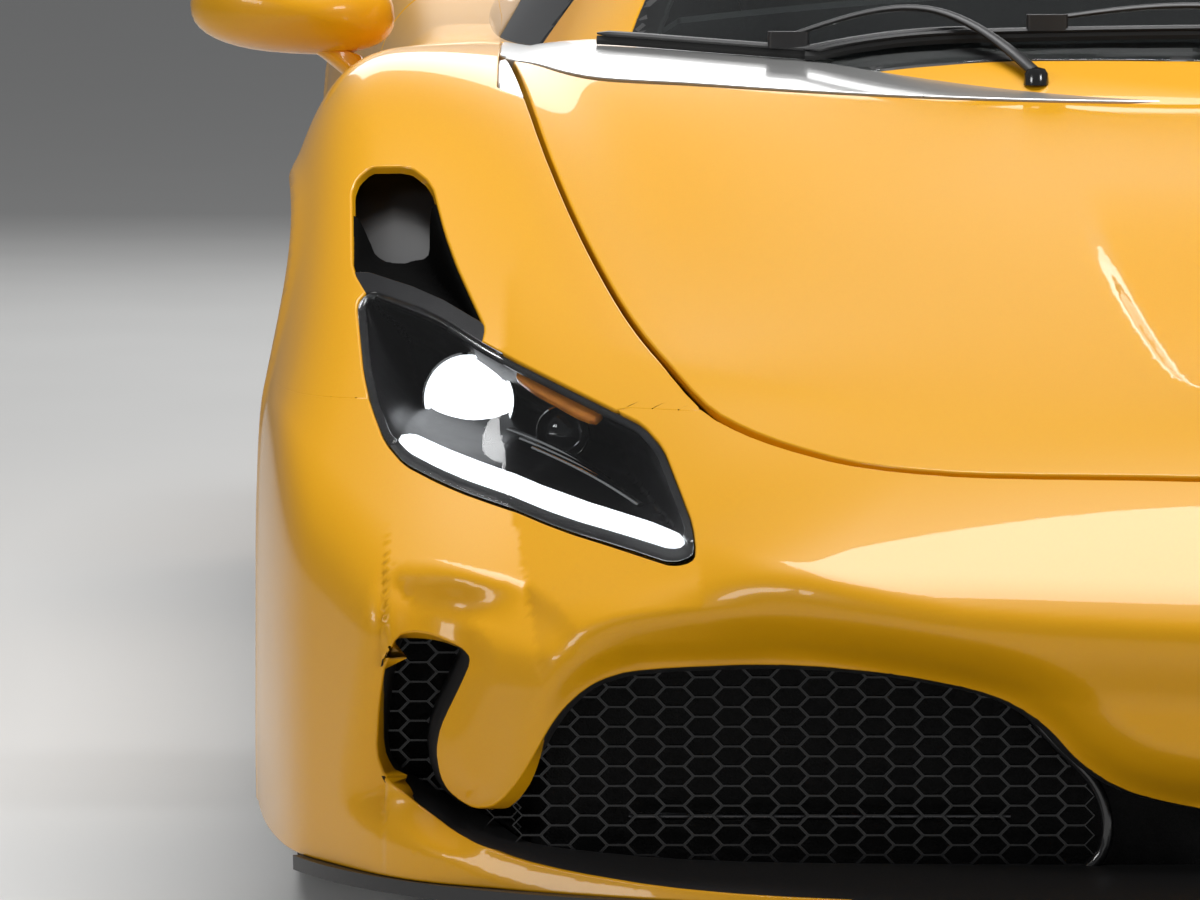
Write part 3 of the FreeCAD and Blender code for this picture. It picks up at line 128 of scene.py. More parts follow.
def spline_table(rows, low, high, step):
    """Natural cubic spline through the rows' first column, sampled at even steps."""
    knots, values = rows[:, 0], rows[:, 1:]
    n = len(knots)
    gap = np.diff(knots)
    system, right = np.eye(n), np.zeros_like(values)
    for i in range(1, n - 1):
        system[i, i - 1:i + 2] = gap[i - 1], 2 * (gap[i - 1] + gap[i]), gap[i]
        right[i] = 6 * ((values[i + 1] - values[i]) / gap[i] - (values[i] - values[i - 1]) / gap[i - 1])
    bend = np.linalg.solve(system, right)
    at = np.arange(low, high + step, step)
    i = np.clip(np.searchsorted(knots, at) - 1, 0, n - 2)
    a = ((knots[i + 1] - np.clip(at, knots[0], knots[-1])) / gap[i])[:, None]
    b = 1 - a
    h2 = (gap[i] ** 2)[:, None] / 6
    curved = ((a ** 3 - a) * bend[i] + (b ** 3 - b) * bend[i + 1]) * h2
    return low, step, a * values[i] + b * values[i + 1] + curved


def read_table(table, at):
    low, step, values = table
    where = np.clip((at - low) / step, 0, len(values) - 1.001)
    i = where.astype(int)
    t = (where - i)[..., None]
    return np.moveaxis(values[i] * (1 - t) + values[i + 1] * t, -1, 0)


BODY_TABLE = spline_table(BODY_STATIONS, -2.45, 2.45, 0.004)
CABIN_TABLE = spline_table(CABIN_STATIONS, -1.2, 2.0, 0.004)
LEVEL_TABLE = spline_table(PLAN_LEVELS, 0.0, 1.3, 0.004)
NOSE_TABLE = spline_table(NOSE_PLAN, 0.0, 1.014, 0.002)
TAIL_TABLE = spline_table(TAIL_PLAN, 0.0, 1.02, 0.002)


def smooth_max(a, b, width):
    share = np.maximum(width - np.abs(a - b), 0) / width
    return np.maximum(a, b) + share * share * width / 4


def bell(value, width):
    return np.exp(-(value / width) ** 2)


def ramp(value, low, high):
    t = np.clip((value - low) / (high - low), 0, 1)
    return t * t * (3 - 2 * t)


def smooth_body(p):
    """Signed height over the lower body before it is carved, from nose to tail in one form."""
    x, y, z = np.abs(p[:, 0]), p[:, 1], p[:, 2]
    centre, valley_x, valley_z, crest_x, crest_z, shoulder_x, shoulder_z, sill_x = read_table(BODY_TABLE, y)
    deck = centre + (valley_z - centre) * (x / valley_x) ** 2
    t = np.clip((x - valley_x) / (crest_x - valley_x), -0.6, 1.8)
    wing = valley_z + (crest_z - valley_z) * t + 0.016 * t * (1 - t)
    share = 1 / (1 + np.exp(-np.clip((x - valley_x) / 0.03, -30, 30)))
    middle_slope = (1 - share) * 2 * (valley_z - centre) * x / valley_x ** 2
    slope = middle_slope + share * (crest_z - valley_z) / (crest_x - valley_x)
    top = (z - deck * (1 - share) - wing * share) / np.sqrt(1 + slope ** 2)
    dx, dz = shoulder_x - crest_x, shoulder_z - crest_z
    length = np.hypot(dx, dz)
    along = np.clip(((x - crest_x) * dx + (z - crest_z) * dz) / length ** 2, -0.6, 1.6)
    haunch = ((z - crest_z) * dx - (x - crest_x) * dz) / length - 0.056 * along * (1 - along)
    down = (shoulder_z - z) / (shoulder_z - 0.060)
    side = x - (shoulder_x + (sill_x - shoulder_x) * down + 0.088 * down * (1 - down))
    form = smooth_max(smooth_max(top, haunch, 0.05), side, 0.09)
    nose_back, tail_back = read_table(LEVEL_TABLE, z)
    at_nose = NOSE_Y + nose_back + read_table(NOSE_TABLE, x)[0] - y
    at_tail = y - TAIL_Y + tail_back + read_table(TAIL_TABLE, x)[0]
    form = smooth_max(form, at_nose * np.where(x > 0.84, 0.45, 0.8), 0.05)
    form = smooth_max(form, at_tail * 0.8, 0.035)
    return form


def softened(outline, rounds=2):
    """A closed outline with its corners cut round."""
    for _ in range(rounds):
        pairs = zip(outline, outline[1:] + outline[:1])
        outline = [(a[0] * (1 - t) + b[0] * t, a[1] * (1 - t) + b[1] * t)
                   for a, b in pairs for t in (0.22, 0.78)]
    return outline


def nicked(outline, reach):
    """A closed outline with its corners rounded only close by."""
    for by in (reach, reach / 3):
        ring = []
        for a, b in zip(outline, outline[1:] + outline[:1]):
            length = math.hypot(b[0] - a[0], b[1] - a[1])
            t = min(by / length, 0.35)
            ring += [(a[0] * (1 - s) + b[0] * s, a[1] * (1 - s) + b[1] * s) for s in (t, 1 - t)]
        outline = ring
    return outline


def outline_distance(outline, flat):
    """Signed distance of points in one view to a closed outline, less than nothing inside it."""
    ring = np.array(outline)
    best = np.full(len(flat), 1e9)
    inside = np.zeros(len(flat), bool)
    for a, e in zip(ring, np.roll(ring, -1, 0) - ring):
        w = flat - a
        t = np.clip((w @ e) / (e @ e), 0, 1)
        best = np.minimum(best, (w[:, 0] - e[0] * t) ** 2 + (w[:, 1] - e[1] * t) ** 2)
        crosses = (w[:, 1] < 0) != (w[:, 1] - e[1] < 0)
        with np.errstate(divide="ignore", invalid="ignore"):
            beyond = w[:, 0] < e[0] * (w[:, 1] / e[1])
        inside ^= crosses & beyond
    return np.where(inside, -1, 1) * np.sqrt(best)


def outline_level(outline, axes, cell=0.002, margin=0.06):
    """The signed distance to an outline in one view, read from a fine table."""
    ring = np.array(outline)
    low, high = ring.min(0) - margin, ring.max(0) + margin
    counts = np.ceil((high - low) / cell).astype(int) + 1
    u, v = [low[k] + cell * np.arange(counts[k]) for k in (0, 1)]
    table = outline_distance(outline, np.stack([np.repeat(u, len(v)), np.tile(v, len(u))], 1)).reshape(counts)

    def level(p):
        flat = p[:, axes]
        near = np.clip(flat, low, low + cell * (counts - 1.001))
        where = (near - low) / cell
        i = where.astype(int)
        t = where - i
        i, j, s, t = i[:, 0], i[:, 1], t[:, 0], t[:, 1]
        found = (table[i, j] * (1 - s) + table[i + 1, j] * s) * (1 - t)
        found += (table[i, j + 1] * (1 - s) + table[i + 1, j + 1] * s) * t
        return found + np.hypot(*(flat - near).T)
    return level


PLAN, SIDE, FRONT = [0, 1], [1, 2], [0, 2]


def both_halves(half):
    """A closed outline from its left half, which runs from the centre line back to it."""
    return half + [(-x, z) for x, z in reversed(half) if x > 0]


# Front intake in one outline round the strut that hangs between its two openings
MOUTH = [(0.0, 0.190), (0.087, 0.196), (0.151, 0.211), (0.192, 0.237), (0.224, 0.274), (0.270, 0.301),
         (0.361, 0.318), (0.453, 0.325), (0.600, 0.320), (0.646, 0.307), (0.679, 0.276), (0.712, 0.217),
         (0.735, 0.187), (0.762, 0.180), (0.788, 0.200), (0.794, 0.244), (0.768, 0.300), (0.757, 0.328),
         (0.806, 0.346), (0.834, 0.340), (0.846, 0.280), (0.850, 0.208), (0.806, 0.180), (0.766, 0.156),
         (0.700, 0.136), (0.550, 0.121), (0.300, 0.118), (0.0, 0.118)]
RECESS = [(0.843, 0.392), (0.828, 0.404), (0.679, 0.381), (0.650, 0.320), (0.690, 0.240), (0.740, 0.150),
          (0.820, 0.150), (0.872, 0.168), (0.877, 0.197), (0.864, 0.278), (0.848, 0.374)]
VENT = [(0.0, NOSE_Y + 0.366), (0.058, NOSE_Y + 0.386), (0.092, NOSE_Y + 0.425), (0.125, NOSE_Y + 0.597),
        (0.148, NOSE_Y + 0.770), (0.155, NOSE_Y + 1.000), (0.0, NOSE_Y + 1.000)]
mouth_level = outline_level(softened(both_halves(MOUTH)), FRONT)
recess_level = outline_level(softened(RECESS), FRONT)
vent_level = outline_level(softened(both_halves(VENT), 1), PLAN)
RIDGE = np.array([(0.0, 0.372), (0.087, 0.375), (0.224, 0.381), (0.306, 0.388), (0.360, 0.398),
                  (0.452, 0.420), (0.544, 0.434), (0.640, 0.420)])


def nose_carving(p):
    """How deep the front is carved in: under the nose's ridge, round the mouth, at the strut, in the vent."""
    x, y, z = np.abs(p[:, 0]), p[:, 1], p[:, 2]
    flat = np.stack([x, y, z], 1)
    depth = np.zeros(len(p))
    face = (y < NOSE_Y + 0.70) & (z < 0.47)
    q, u, w = flat[face], x[face], z[face]
    mouth = mouth_level(q)
    recess = recess_level(q)
    under = np.interp(u, RIDGE[:, 0], RIDGE[:, 1]) - w
    above = ramp(w, 0.150, 0.200)
    ridge = 0.042 * ramp(under, -0.006, 0.085) * (1 - ramp(u, 0.46, 0.66)) * above
    lip = 0.040 * (1 - ramp(mouth, -0.002, 0.062)) * above * (1 - ramp(u, 0.60, 0.72))
    lip = lip + 0.009 * (1 - ramp(mouth, -0.004, 0.030)) * (1 - ramp(u, 0.79, 0.84))
    pocket = (0.034 - 0.021 * ramp(u, 0.76, 0.87)) * ramp(-recess, -0.012, 0.036)
    pocket = pocket * (1 - ramp(0.80 - u, 0.02, 0.13) * (1 - ramp(w, 0.33, 0.40)))
    depth[face] = (ridge + lip + pocket) * (1 - ramp(y[face], NOSE_Y + 0.50, NOSE_Y + 0.68))
    deck = (y < NOSE_Y + 1.05) & (z > 0.44) & (x < 0.22)
    inside = -vent_level(flat[deck])
    fade = 1 - ramp(y[deck], NOSE_Y + 0.50, NOSE_Y + 0.98)
    depth[deck] = depth[deck] + 0.020 * ramp(inside, -0.008, 0.024) * fade
    return depth


def side_carving(p):
    """How deep the sides are carved in, and how far the arch lips stand out."""
    x, y, z = np.abs(p[:, 0]), p[:, 1], p[:, 2]
    depth = np.zeros(len(p))
    # Wheel-arch lips, and the scallop that runs back along the door to the side intake
    for wheel_y, wheel_z, radius in ((FRONT_AXLE_Y, TYRE_FRONT, ARCH_FRONT),
                                     (REAR_AXLE_Y, TYRE_REAR, ARCH_REAR)):
        away = np.hypot(y - wheel_y, z - wheel_z)
        depth = depth - 0.004 * bell(away - radius - 0.006, 0.014) * ramp(x, 0.80, 0.90)
    t = np.clip((y + 0.50) / 1.05, 0, 1)
    scallop = 0.034 * ramp(y, -0.55, 0.45) * (1 - ramp(y, 0.66, 0.84)) * ramp(x, 0.7, 0.85)
    return depth + scallop * bell(z - (0.470 + 0.110 * t), 0.075 + 0.045 * t)


def body_form(p):
    """Signed height over the lower body's skin without the nose's own carving."""
    return smooth_body(p) + side_carving(p)


def lower_form(p):
    """Signed height over the lower body's skin."""
    return body_form(p) + nose_carving(p)


def cabin_form(p):
    """Signed height over the cabin's skin: roof, pillars, glass and fastback."""
    x, y, z = np.abs(p[:, 0]), p[:, 1], p[:, 2]
    top_z, rail_x, rail_z, base_x = read_table(CABIN_TABLE, y)
    roof = (z - top_z - (rail_z - top_z) * (x / rail_x) ** 2) * 0.93
    dx, dz = base_x - rail_x, CABIN_BASE - rail_z
    length = np.hypot(dx, dz)
    along = np.clip(((x - rail_x) * dx + (z - rail_z) * dz) / length ** 2, -0.6, 1.6)
    side = ((z - rail_z) * dx - (x - rail_x) * dz) / length - 0.048 * along * (1 - along)
    return smooth_max(roof, side, 0.075)


def slope_of(form, p, reach=0.0015):
    grad = np.empty_like(p)
    for axis in range(3):
        step = np.zeros(3)
        step[axis] = reach
        grad[:, axis] = (form(p + step) - form(p - step)) / (2 * reach)
    return grad


def settle(form, p, rounds=3):
    """Moves points straight onto the form's skin."""
    for _ in range(rounds):
        grad = slope_of(form, p)
        size = np.maximum((grad ** 2).sum(1), 0.05)
        p = p - grad * np.clip(form(p) / size, -0.03, 0.03)[:, None]
    return p


def unit(v):
    return v / np.maximum(np.linalg.norm(v, axis=-1, keepdims=True), 1e-9)


def skin_net(form, low, high, step):
    """Even triangles over a form's skin inside a box, with one point for each cell that the skin passes."""
    axes = [np.arange(low[i], high[i] + step, step) for i in range(3)]
    shape = [len(a) for a in axes]
    value = np.empty(shape, np.float32)
    yy, zz = np.meshgrid(axes[1], axes[2], indexing="ij")
    for i, x in enumerate(axes[0]):
        value[i] = form(np.stack([np.full(yy.size, x), yy.ravel(), zz.ravel()], 1)).reshape(yy.shape)
    solid = value < 0
    cells = [n - 1 for n in shape]
    count = np.zeros(cells, np.int8)
    total = np.zeros(cells + [3], np.float32)
    crossings = []
    for axis in range(3):
        head = [slice(None)] * 3
        tail = [slice(None)] * 3
        head[axis], tail[axis] = slice(None, -1), slice(1, None)
        a, b = value[tuple(head)], value[tuple(tail)]
        cut = solid[tuple(head)] != solid[tuple(tail)]
        at = np.argwhere(cut)
        share = a[cut] / (a[cut] - b[cut])
        spot = at.astype(np.float32)
        spot[:, axis] += share
        crossings.append((axis, at, solid[tuple(head)][cut]))
        others = [k for k in range(3) if k != axis]
        for da in (0, 1):
            for db in (0, 1):
                cell = at.copy()
                cell[:, others[0]] -= da
                cell[:, others[1]] -= db
                good = ((cell >= 0) & (cell < np.array(cells))).all(1)
                key = tuple(cell[good].T)
                np.add.at(count, key, 1)
                np.add.at(total, key, spot[good])
    used = count > 0
    index = np.full(cells, -1, np.int64)
    index[used] = np.arange(used.sum())
    points = total[used] / count[used][:, None] * step + np.array(low)
    quads = []
    for axis, at, inside in crossings:
        others = [k for k in range(3) if k != axis]
        ring = []
        for da, db in ((0, 0), (1, 0), (1, 1), (0, 1)):
            cell = at.copy()
            cell[:, others[0]] -= da
            cell[:, others[1]] -= db
            good = ((cell >= 0) & (cell < np.array(cells))).all(1)
            found = np.full(len(cell), -1)
            found[good] = index[tuple(cell[good].T)]
            ring.append(found)
        ring = np.stack(ring, 1)
        whole = (ring >= 0).all(1)
        flip = inside if axis != 1 else ~inside
        ring[flip] = ring[flip][:, ::-1]
        quads.append(ring[whole])
    quads = np.concatenate(quads)
    tris = np.concatenate([quads[:, [0, 1, 2]], quads[:, [0, 2, 3]]])
    points = points.astype(float)
    for _ in range(4):
        around, number = np.zeros_like(points), np.zeros(len(points))
        for a, b in ((0, 1), (1, 2), (2, 3), (3, 0)):
            for i, j in ((a, b), (b, a)):
                np.add.at(around, quads[:, i], points[quads[:, j]])
                np.add.at(number, quads[:, i], 1)
        loose = number > 0
        points[loose] += 0.5 * (around[loose] / number[loose][:, None] - points[loose])
        points = settle(form, points, 1)
    points = settle(form, points, 3)
    # One check of the winding: faces look along the form's slope
    normal = np.cross(points[tris[:, 1]] - points[tris[:, 0]], points[tris[:, 2]] - points[tris[:, 0]])
    wrong = (normal * slope_of(form, points[tris].mean(1))).sum(1) < 0
    tris[wrong] = tris[wrong][:, ::-1]
    return points, tris


def trim(form, points, tris, keep, step):
    """Keeps the part of the skin where keep(p) <= 0, with a clean edge along keep(p) = 0."""
    level = keep(points)
    near = (np.abs(level) < 0.35 * step)
    near[np.setdiff1d(np.arange(len(points)), np.unique(tris))] = False
    if near.any():
        for _ in range(2):
            spots = points[near]
            face = unit(slope_of(form, spots))
            way = slope_of(keep, spots, 0.0008)
            way -= face * (way * face).sum(1)[:, None]
            size = (way ** 2).sum(1)
            shift = way * (keep(spots) / np.maximum(size, 0.02))[:, None]
            length = np.linalg.norm(shift, axis=1, keepdims=True)
            shift *= np.minimum(1, 0.6 * step / np.maximum(length, 1e-9))
            points = points.copy()
            points[near] = settle(form, spots - shift, 1)
        level = keep(points)
        level[near & (np.abs(level) < 0.2 * step)] = 0.0
    inside = level <= 0
    number = inside[tris].sum(1)
    whole = tris[number == 3]
    whole = whole[~(level[whole] == 0).all(1)]
    parts = [whole]
    pairs = []
    for lone, wanted in ((True, 1), (False, 2)):
        group = tris[number == wanted]
        if not len(group):
            continue
        first = np.argmax(inside[group] == lone, 1)
        turn = (first[:, None] + np.arange(3)) % 3
        group = np.take_along_axis(group, turn, 1)
        pairs.append((group, lone))
    flat = [g[:, [0, 1]] for g, _ in pairs] + [g[:, [0, 2]] for g, _ in pairs]
    if flat:
        edges = np.sort(np.concatenate(flat), 1)
        edges, back = np.unique(edges, axis=0, return_inverse=True)
        back = back.reshape(-1)
        share = level[edges[:, 0]] / (level[edges[:, 0]] - level[edges[:, 1]])
        share = np.clip(share, 0, 1)[:, None]
        fresh = settle(form, points[edges[:, 0]] * (1 - share) + points[edges[:, 1]] * share, 1)
        base, at = len(points), 0
        points = np.concatenate([points, fresh])
        sizes = [len(g) for g, _ in pairs]
        total = sum(sizes)
        for k, (group, lone) in enumerate(pairs):
            start = sum(sizes[:k])
            ab = base + back[start:start + sizes[k]]
            ac = base + back[total + start:total + start + sizes[k]]
            if lone:
                parts.append(np.stack([group[:, 0], ab, ac], 1))
            else:
                parts.append(np.stack([ab, group[:, 1], group[:, 2]], 1))
                parts.append(np.stack([ab, group[:, 2], ac], 1))
    tris = np.concatenate(parts)
    # Points that fell together are one point, and faces without area go
    used, tris = np.unique(tris, return_inverse=True)
    points, tris = points[used], tris.reshape(-1, 3)
    _, same, back = np.unique(np.round(points / 2e-5).astype(np.int64), axis=0, return_index=True,
                              return_inverse=True)
    points, tris = points[same], back.reshape(-1)[tris]
    real = (tris[:, 0] != tris[:, 1]) & (tris[:, 1] != tris[:, 2]) & (tris[:, 0] != tris[:, 2])
    return points, tris[real]


# Outlines that part one panel from the next
def grown(level, by):
    return lambda p: level(p) - by


def outside(level, by=0.0):
    return lambda p: by - level(p)


def behind(axis, value):
    return lambda p: value - p[:, axis]


def ahead(axis, value):
    return lambda p: p[:, axis] - value


def round_pin(centre, radius, axes):
    return lambda p: np.hypot(p[:, axes[0]] - centre[0], p[:, axes[1]] - centre[1]) - radius


def all_of(*levels):
    return lambda p: np.max([level(p) for level in levels], 0)


EDGE = EDGE_RADIUS
HOLE = SHUT_GAP + EDGE_RADIUS
bonnet_plan = outline_level(softened([
    (-0.4, NOSE_Y + 0.200), (0.0, NOSE_Y + 0.200), (0.262, NOSE_Y + 0.224), (0.380, NOSE_Y + 0.260),
    (0.485, NOSE_Y + 0.354), (0.543, NOSE_Y + 0.425), (0.600, NOSE_Y + 0.600), (0.660, NOSE_Y + 0.850),
    (0.700, NOSE_Y + 1.050), (0.742, NOSE_Y + 1.400), (0.742, NOSE_Y + 1.9), (-0.4, NOSE_Y + 1.9)], 2), PLAN)
bonnet_rear = round_pin(BONNET_PIVOT[:2], BONNET_PIVOT[2], [1, 2])
bonnet_zone = [bonnet_plan, outside(bonnet_rear), ahead(1, BONNET_PIVOT[0])]
bonnet_level = all_of(*bonnet_zone)
door_side = outline_level(softened([
    (-0.640, SILL_TOP + SHUT_GAP), (0.290, SILL_TOP + SHUT_GAP), (0.390, SILL_TOP + 0.116),
    (0.450, SILL_TOP + 0.426), (0.450, 0.90), (0.450, 1.3), (-0.640, 1.3), (-0.640, 0.9)], 1), SIDE)
door_zone = [
    door_side, round_pin((HINGE_X, HINGE_Y), DOOR_REAR_RADIUS, PLAN),
    outside(round_pin((HINGE_X, HINGE_Y), SWING_RADIUS, PLAN)), behind(0, 0.60)]
door_level = all_of(*door_zone)
cover_rear = REAR_AXLE_Y + 0.300
cover_plan = outline_level(softened([
    (-0.4, COVER_PIVOT[0] - 0.2), (0.430, COVER_PIVOT[0] - 0.2), (0.430, COVER_PIVOT[0]),
    (0.390, cover_rear - 0.120), (0.310, cover_rear), (-0.4, cover_rear)], 2), PLAN)
cover_zone = [cover_plan, outside(round_pin(COVER_PIVOT[:2], COVER_PIVOT[2], [1, 2])),
              behind(1, COVER_PIVOT[0])]
cover_level = all_of(*cover_zone)
screen_level = outline_level(softened([(-0.5, NOSE_Y + 1.330), (0.0, NOSE_Y + 1.330),
                                       (0.420, NOSE_Y + 1.360), (0.618, NOSE_Y + 1.470),
                                       (0.585, NOSE_Y + 1.640), (0.452, NOSE_Y + 2.120),
                                       (0.0, NOSE_Y + 2.165), (-0.5, NOSE_Y + 2.165)], 2), PLAN)
side_glass_level = outline_level(softened([
    (-0.570, 0.600), (-0.570, 0.842), (-0.330, 0.985), (-0.060, 1.078), (0.180, 1.104), (0.330, 1.070),
    (0.414, 0.960), (0.414, 0.600)], 1), SIDE)
LAMP = [(0.584, 0.520), (0.546, 0.436), (0.556, 0.416), (0.675, 0.438), (0.781, 0.470), (0.838, 0.494),
        (0.864, 0.548), (0.878, 0.636), (0.800, 0.614), (0.738, 0.580), (0.656, 0.548)]
LAMP_DUCT = [(0.880, 0.634), (0.886, 0.738), (0.812, 0.740), (0.788, 0.668), (0.742, 0.584), (0.804, 0.610)]
lamp_level = outline_level(nicked(LAMP, 0.014), FRONT)
duct_level = outline_level(nicked(LAMP_DUCT, 0.016), FRONT)
front_arch = round_pin((FRONT_AXLE_Y, TYRE_FRONT), ARCH_FRONT, SIDE)
rear_arch = round_pin((REAR_AXLE_Y, TYRE_REAR), ARCH_REAR, SIDE)
ahead_of_middle = ahead(1, 0.0)
front_face = ahead(1, FRONT_AXLE_Y)
tail_face = behind(1, TAIL_Y - 0.30)
SIDE_INTAKE = [(0.545, 0.470), (0.640, 0.470), (0.760, 0.560), (0.720, 0.690), (0.610, 0.705), (0.560, 0.600)]
side_intake_level = outline_level(softened(SIDE_INTAKE, 2), SIDE)
TAIL_MESH = [(-0.4, 0.520), (0.470, 0.520), (0.500, 0.600), (0.440, 0.640), (-0.4, 0.640)]
TAIL_LOW = [(-0.4, 0.300), (0.480, 0.300), (0.440, 0.150), (0.440, 0.050), (-0.4, 0.050)]
tail_mesh_level = outline_level(softened(TAIL_MESH, 2), FRONT)
tail_low_level = outline_level(TAIL_LOW, FRONT)


def cut_through(level, region, by=HOLE):
    """Keeps what is outside an outline. The outline only cuts inside the region."""
    return lambda p: np.where(region(p) <= 0, by - level(p), -0.05)


# Panels
def edge_chains(tris):
    """The open edges of a trimmed skin as runs of points, each with its face on the left."""
    pairs = np.concatenate([tris[:, [0, 1]], tris[:, [1, 2]], tris[:, [2, 0]]])
    keys = {(a, b) for a, b in pairs.tolist()}
    step = {a: b for a, b in keys if (b, a) not in keys}
    starts = set(step) - set(step.values())
    chains = []
    while step:
        start = starts.pop() if starts else next(iter(step))
        chain = [start]
        while chain[-1] in step:
            chain.append(step.pop(chain[-1]))
        chains.append(chain)
    return chains


def new_piece(name, points, faces, material, body, normals=None, replaces=(), smooth=True):
    mesh = bpy.data.meshes.new(name)
    mesh.from_pydata(np.asarray(points).tolist(), [], faces.tolist() if hasattr(faces, "tolist") else faces)
    mesh.update()
    if smooth:
        mesh.shade_smooth()
    if normals is not None:
        mesh.normals_split_custom_set_from_vertices(np.asarray(normals).tolist())
    piece = bpy.data.objects.new(name, mesh)
    bpy.context.scene.collection.objects.link(piece)
    for m in material if isinstance(material, (list, tuple)) else [material]:
        mesh.materials.append(m)
    if body:
        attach(piece, body)
    if replaces:
        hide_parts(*replaces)
    return piece


def hemmed(form, points, tris, depth, closed_back, thickness, edge=EDGE_RADIUS):
    """Adds a rolled edge and a return flange, and a back where the panel shows from inside."""
    normals = unit(slope_of(form, points))
    out_points, out_normals, out_faces = [points], [normals], [tris]
    offset = len(points)
    turns = [(math.radians(a), 0.0) for a in (30, 60, 90)] + [(math.radians(90), depth)]
    back_of = {}
    for chain in edge_chains(tris):
        ids = np.array(chain)
        loop = chain[0] == chain[-1]
        if loop:
            ids = ids[:-1]
        if len(ids) < 3:
            continue
        spots = points[ids]
        if (np.abs(spots[:, 0]) < 1e-4).all():
            continue
        along = np.roll(spots, -1, 0) - np.roll(spots, 1, 0) if loop else np.gradient(spots, axis=0)
        for _ in range(2):
            smooth = (np.roll(along, 1, 0) + along * 2 + np.roll(along, -1, 0)) if loop else along
            along = smooth
        face = normals[ids]
        away = unit(np.cross(unit(along), face))
        centre = np.abs(spots[:, 0]) < 1e-4
        for i in np.nonzero(centre)[0]:
            away[i, 0] = 0.0
            face[i, 0] = 0.0
        away, face = unit(away), unit(face)
        previous = ids
        for angle, drop in turns:
            ring = spots + away * edge * math.sin(angle) - face * (edge * (1 - math.cos(angle)) + drop)
            out_points.append(ring)
            out_normals.append(unit(away * math.sin(angle) + face * math.cos(angle)))
            here = offset + np.arange(len(ids))
            offset += len(ids)
            count = len(ids) if loop else len(ids) - 1
            i = np.arange(count)
            j = (i + 1) % len(ids)
            keep = ~(centre[i] & centre[j])
            i, j = i[keep], j[keep]
            out_faces.append(np.stack([previous[j], previous[i], here[i]], 1))
            out_faces.append(np.stack([previous[j], here[i], here[j]], 1))
            previous = here
        if closed_back:
            for a, b in zip(ids, previous):
                back_of[a] = b
    if closed_back:
        inner = points - normals * thickness
        inner_ids = offset + np.arange(len(points))
        out_points.append(inner)
        out_normals.append(-normals)
        out_faces.append(inner_ids[tris][:, ::-1])
        offset += len(points)
        for chain in edge_chains(tris):
            for a, b in zip(chain, chain[1:]):
                if a in back_of and b in back_of:
                    out_faces.append(np.array([[back_of[b], back_of[a], inner_ids[a]],
                                               [back_of[b], inner_ids[a], inner_ids[b]]]))
    return np.concatenate(out_points), np.concatenate(out_normals), np.concatenate(out_faces)


def mirrored_half(points, normals, faces):
    flip = np.array([-1.0, 1.0, 1.0])
    return points * flip, normals * flip, faces[:, ::-1]


def joined_halves(points, normals, faces):
    """Both halves of a piece across the centre plane, sharing their points there."""
    other, other_normals, other_faces = mirrored_half(points, normals, faces)
    on_centre = np.abs(points[:, 0]) < 1e-4
    ids = np.arange(len(points)) + len(points)
    ids[on_centre] = np.nonzero(on_centre)[0]
    points = points.copy()
    points[on_centre, 0] = 0.0
    return (np.concatenate([points, other]), np.concatenate([normals, other_normals]),
            np.concatenate([faces, ids[other_faces]]))


def skin_panel(name, form, net, cuts, material, body, kind="whole", depth=0.018, closed_back=False,
               thickness=0.024, step=0.012, replaces=(), bodies=None):
    """A panel of a form's skin: whole across the centre, a joined pair, or a left and a right one."""
    points, tris = net
    for cut in cuts:
        points, tris = trim(form, points, tris, cut, step)
    if kind == "whole":
        points, tris = trim(form, points, tris, behind(0, 0.0), step)
        points[np.abs(points[:, 0]) < 2e-4, 0] = 0.0
    points, normals, faces = hemmed(form, points, tris, depth, closed_back, thickness)
    if kind in ("whole", "pair"):
        points, normals, faces = joined_halves(points, normals, faces)
        return new_piece(name, points, faces, material, body, normals, replaces)
    pieces = []
    for side, (p, n, f) in (("left", (points, normals, faces)),
                            ("right", mirrored_half(points, normals, faces))):
        nodes = [node.format(side) for node in replaces]
        pieces.append(new_piece("%s_%s" % (name, side), p, f, material, (bodies or {}).get(side, body), n,
                                nodes))
    return pieces

# Shapes
def joined(*parts):
    """Several (points, faces) shapes as one."""
    points, faces, start = [], [], 0
    for part_points, part_faces in parts:
        points.append(np.asarray(part_points, float))
        faces += [[start + i for i in face] for face in part_faces]
        start += len(part_points)
    return np.concatenate(points), faces


def mirrored_shape(part):
    points, faces = part
    return np.asarray(points, float) * (-1, 1, 1), [list(face)[::-1] for face in faces]


def both_sides(part):
    return joined(part, mirrored_shape(part))


def moved(part, by):
    return np.asarray(part[0], float) + np.asarray(by, float), part[1]


def lofted(rings, closed=True, caps=(True, True)):
    """A shape through rings of points, all of the same count."""
    count = len(rings[0])
    points = np.concatenate([np.asarray(ring, float) for ring in rings])
    faces = []
    for k in range(len(rings) - 1):
        a, b = k * count, (k + 1) * count
        for i in range(count if closed else count - 1):
            j = (i + 1) % count
            faces.append([a + i, a + j, b + j, b + i])
    if caps[0]:
        faces.append(list(range(count))[::-1])
    if caps[1]:
        faces.append([len(points) - count + i for i in range(count)])
    return points, faces


def spun(profile, centre=(0, 0, 0), segments=96, side=1, closed=True, axis=0):
    """A shape turned about an axis through centre, from (along the axis, radius) points."""
    angle = np.linspace(0, 2 * math.pi, segments, endpoint=False)
    rings = []
    for along, radius in profile:
        ring = np.zeros((segments, 3))
        ring[:, axis] = side * along
        ring[:, (axis + 1) % 3] = radius * np.cos(angle)
        ring[:, (axis + 2) % 3] = radius * np.sin(angle)
        rings.append(ring + np.array(centre))
    if closed:
        return lofted(rings + rings[:1], True, (False, False))
    return lofted(rings, True, (profile[0][1] > 1e-4, profile[-1][1] > 1e-4))


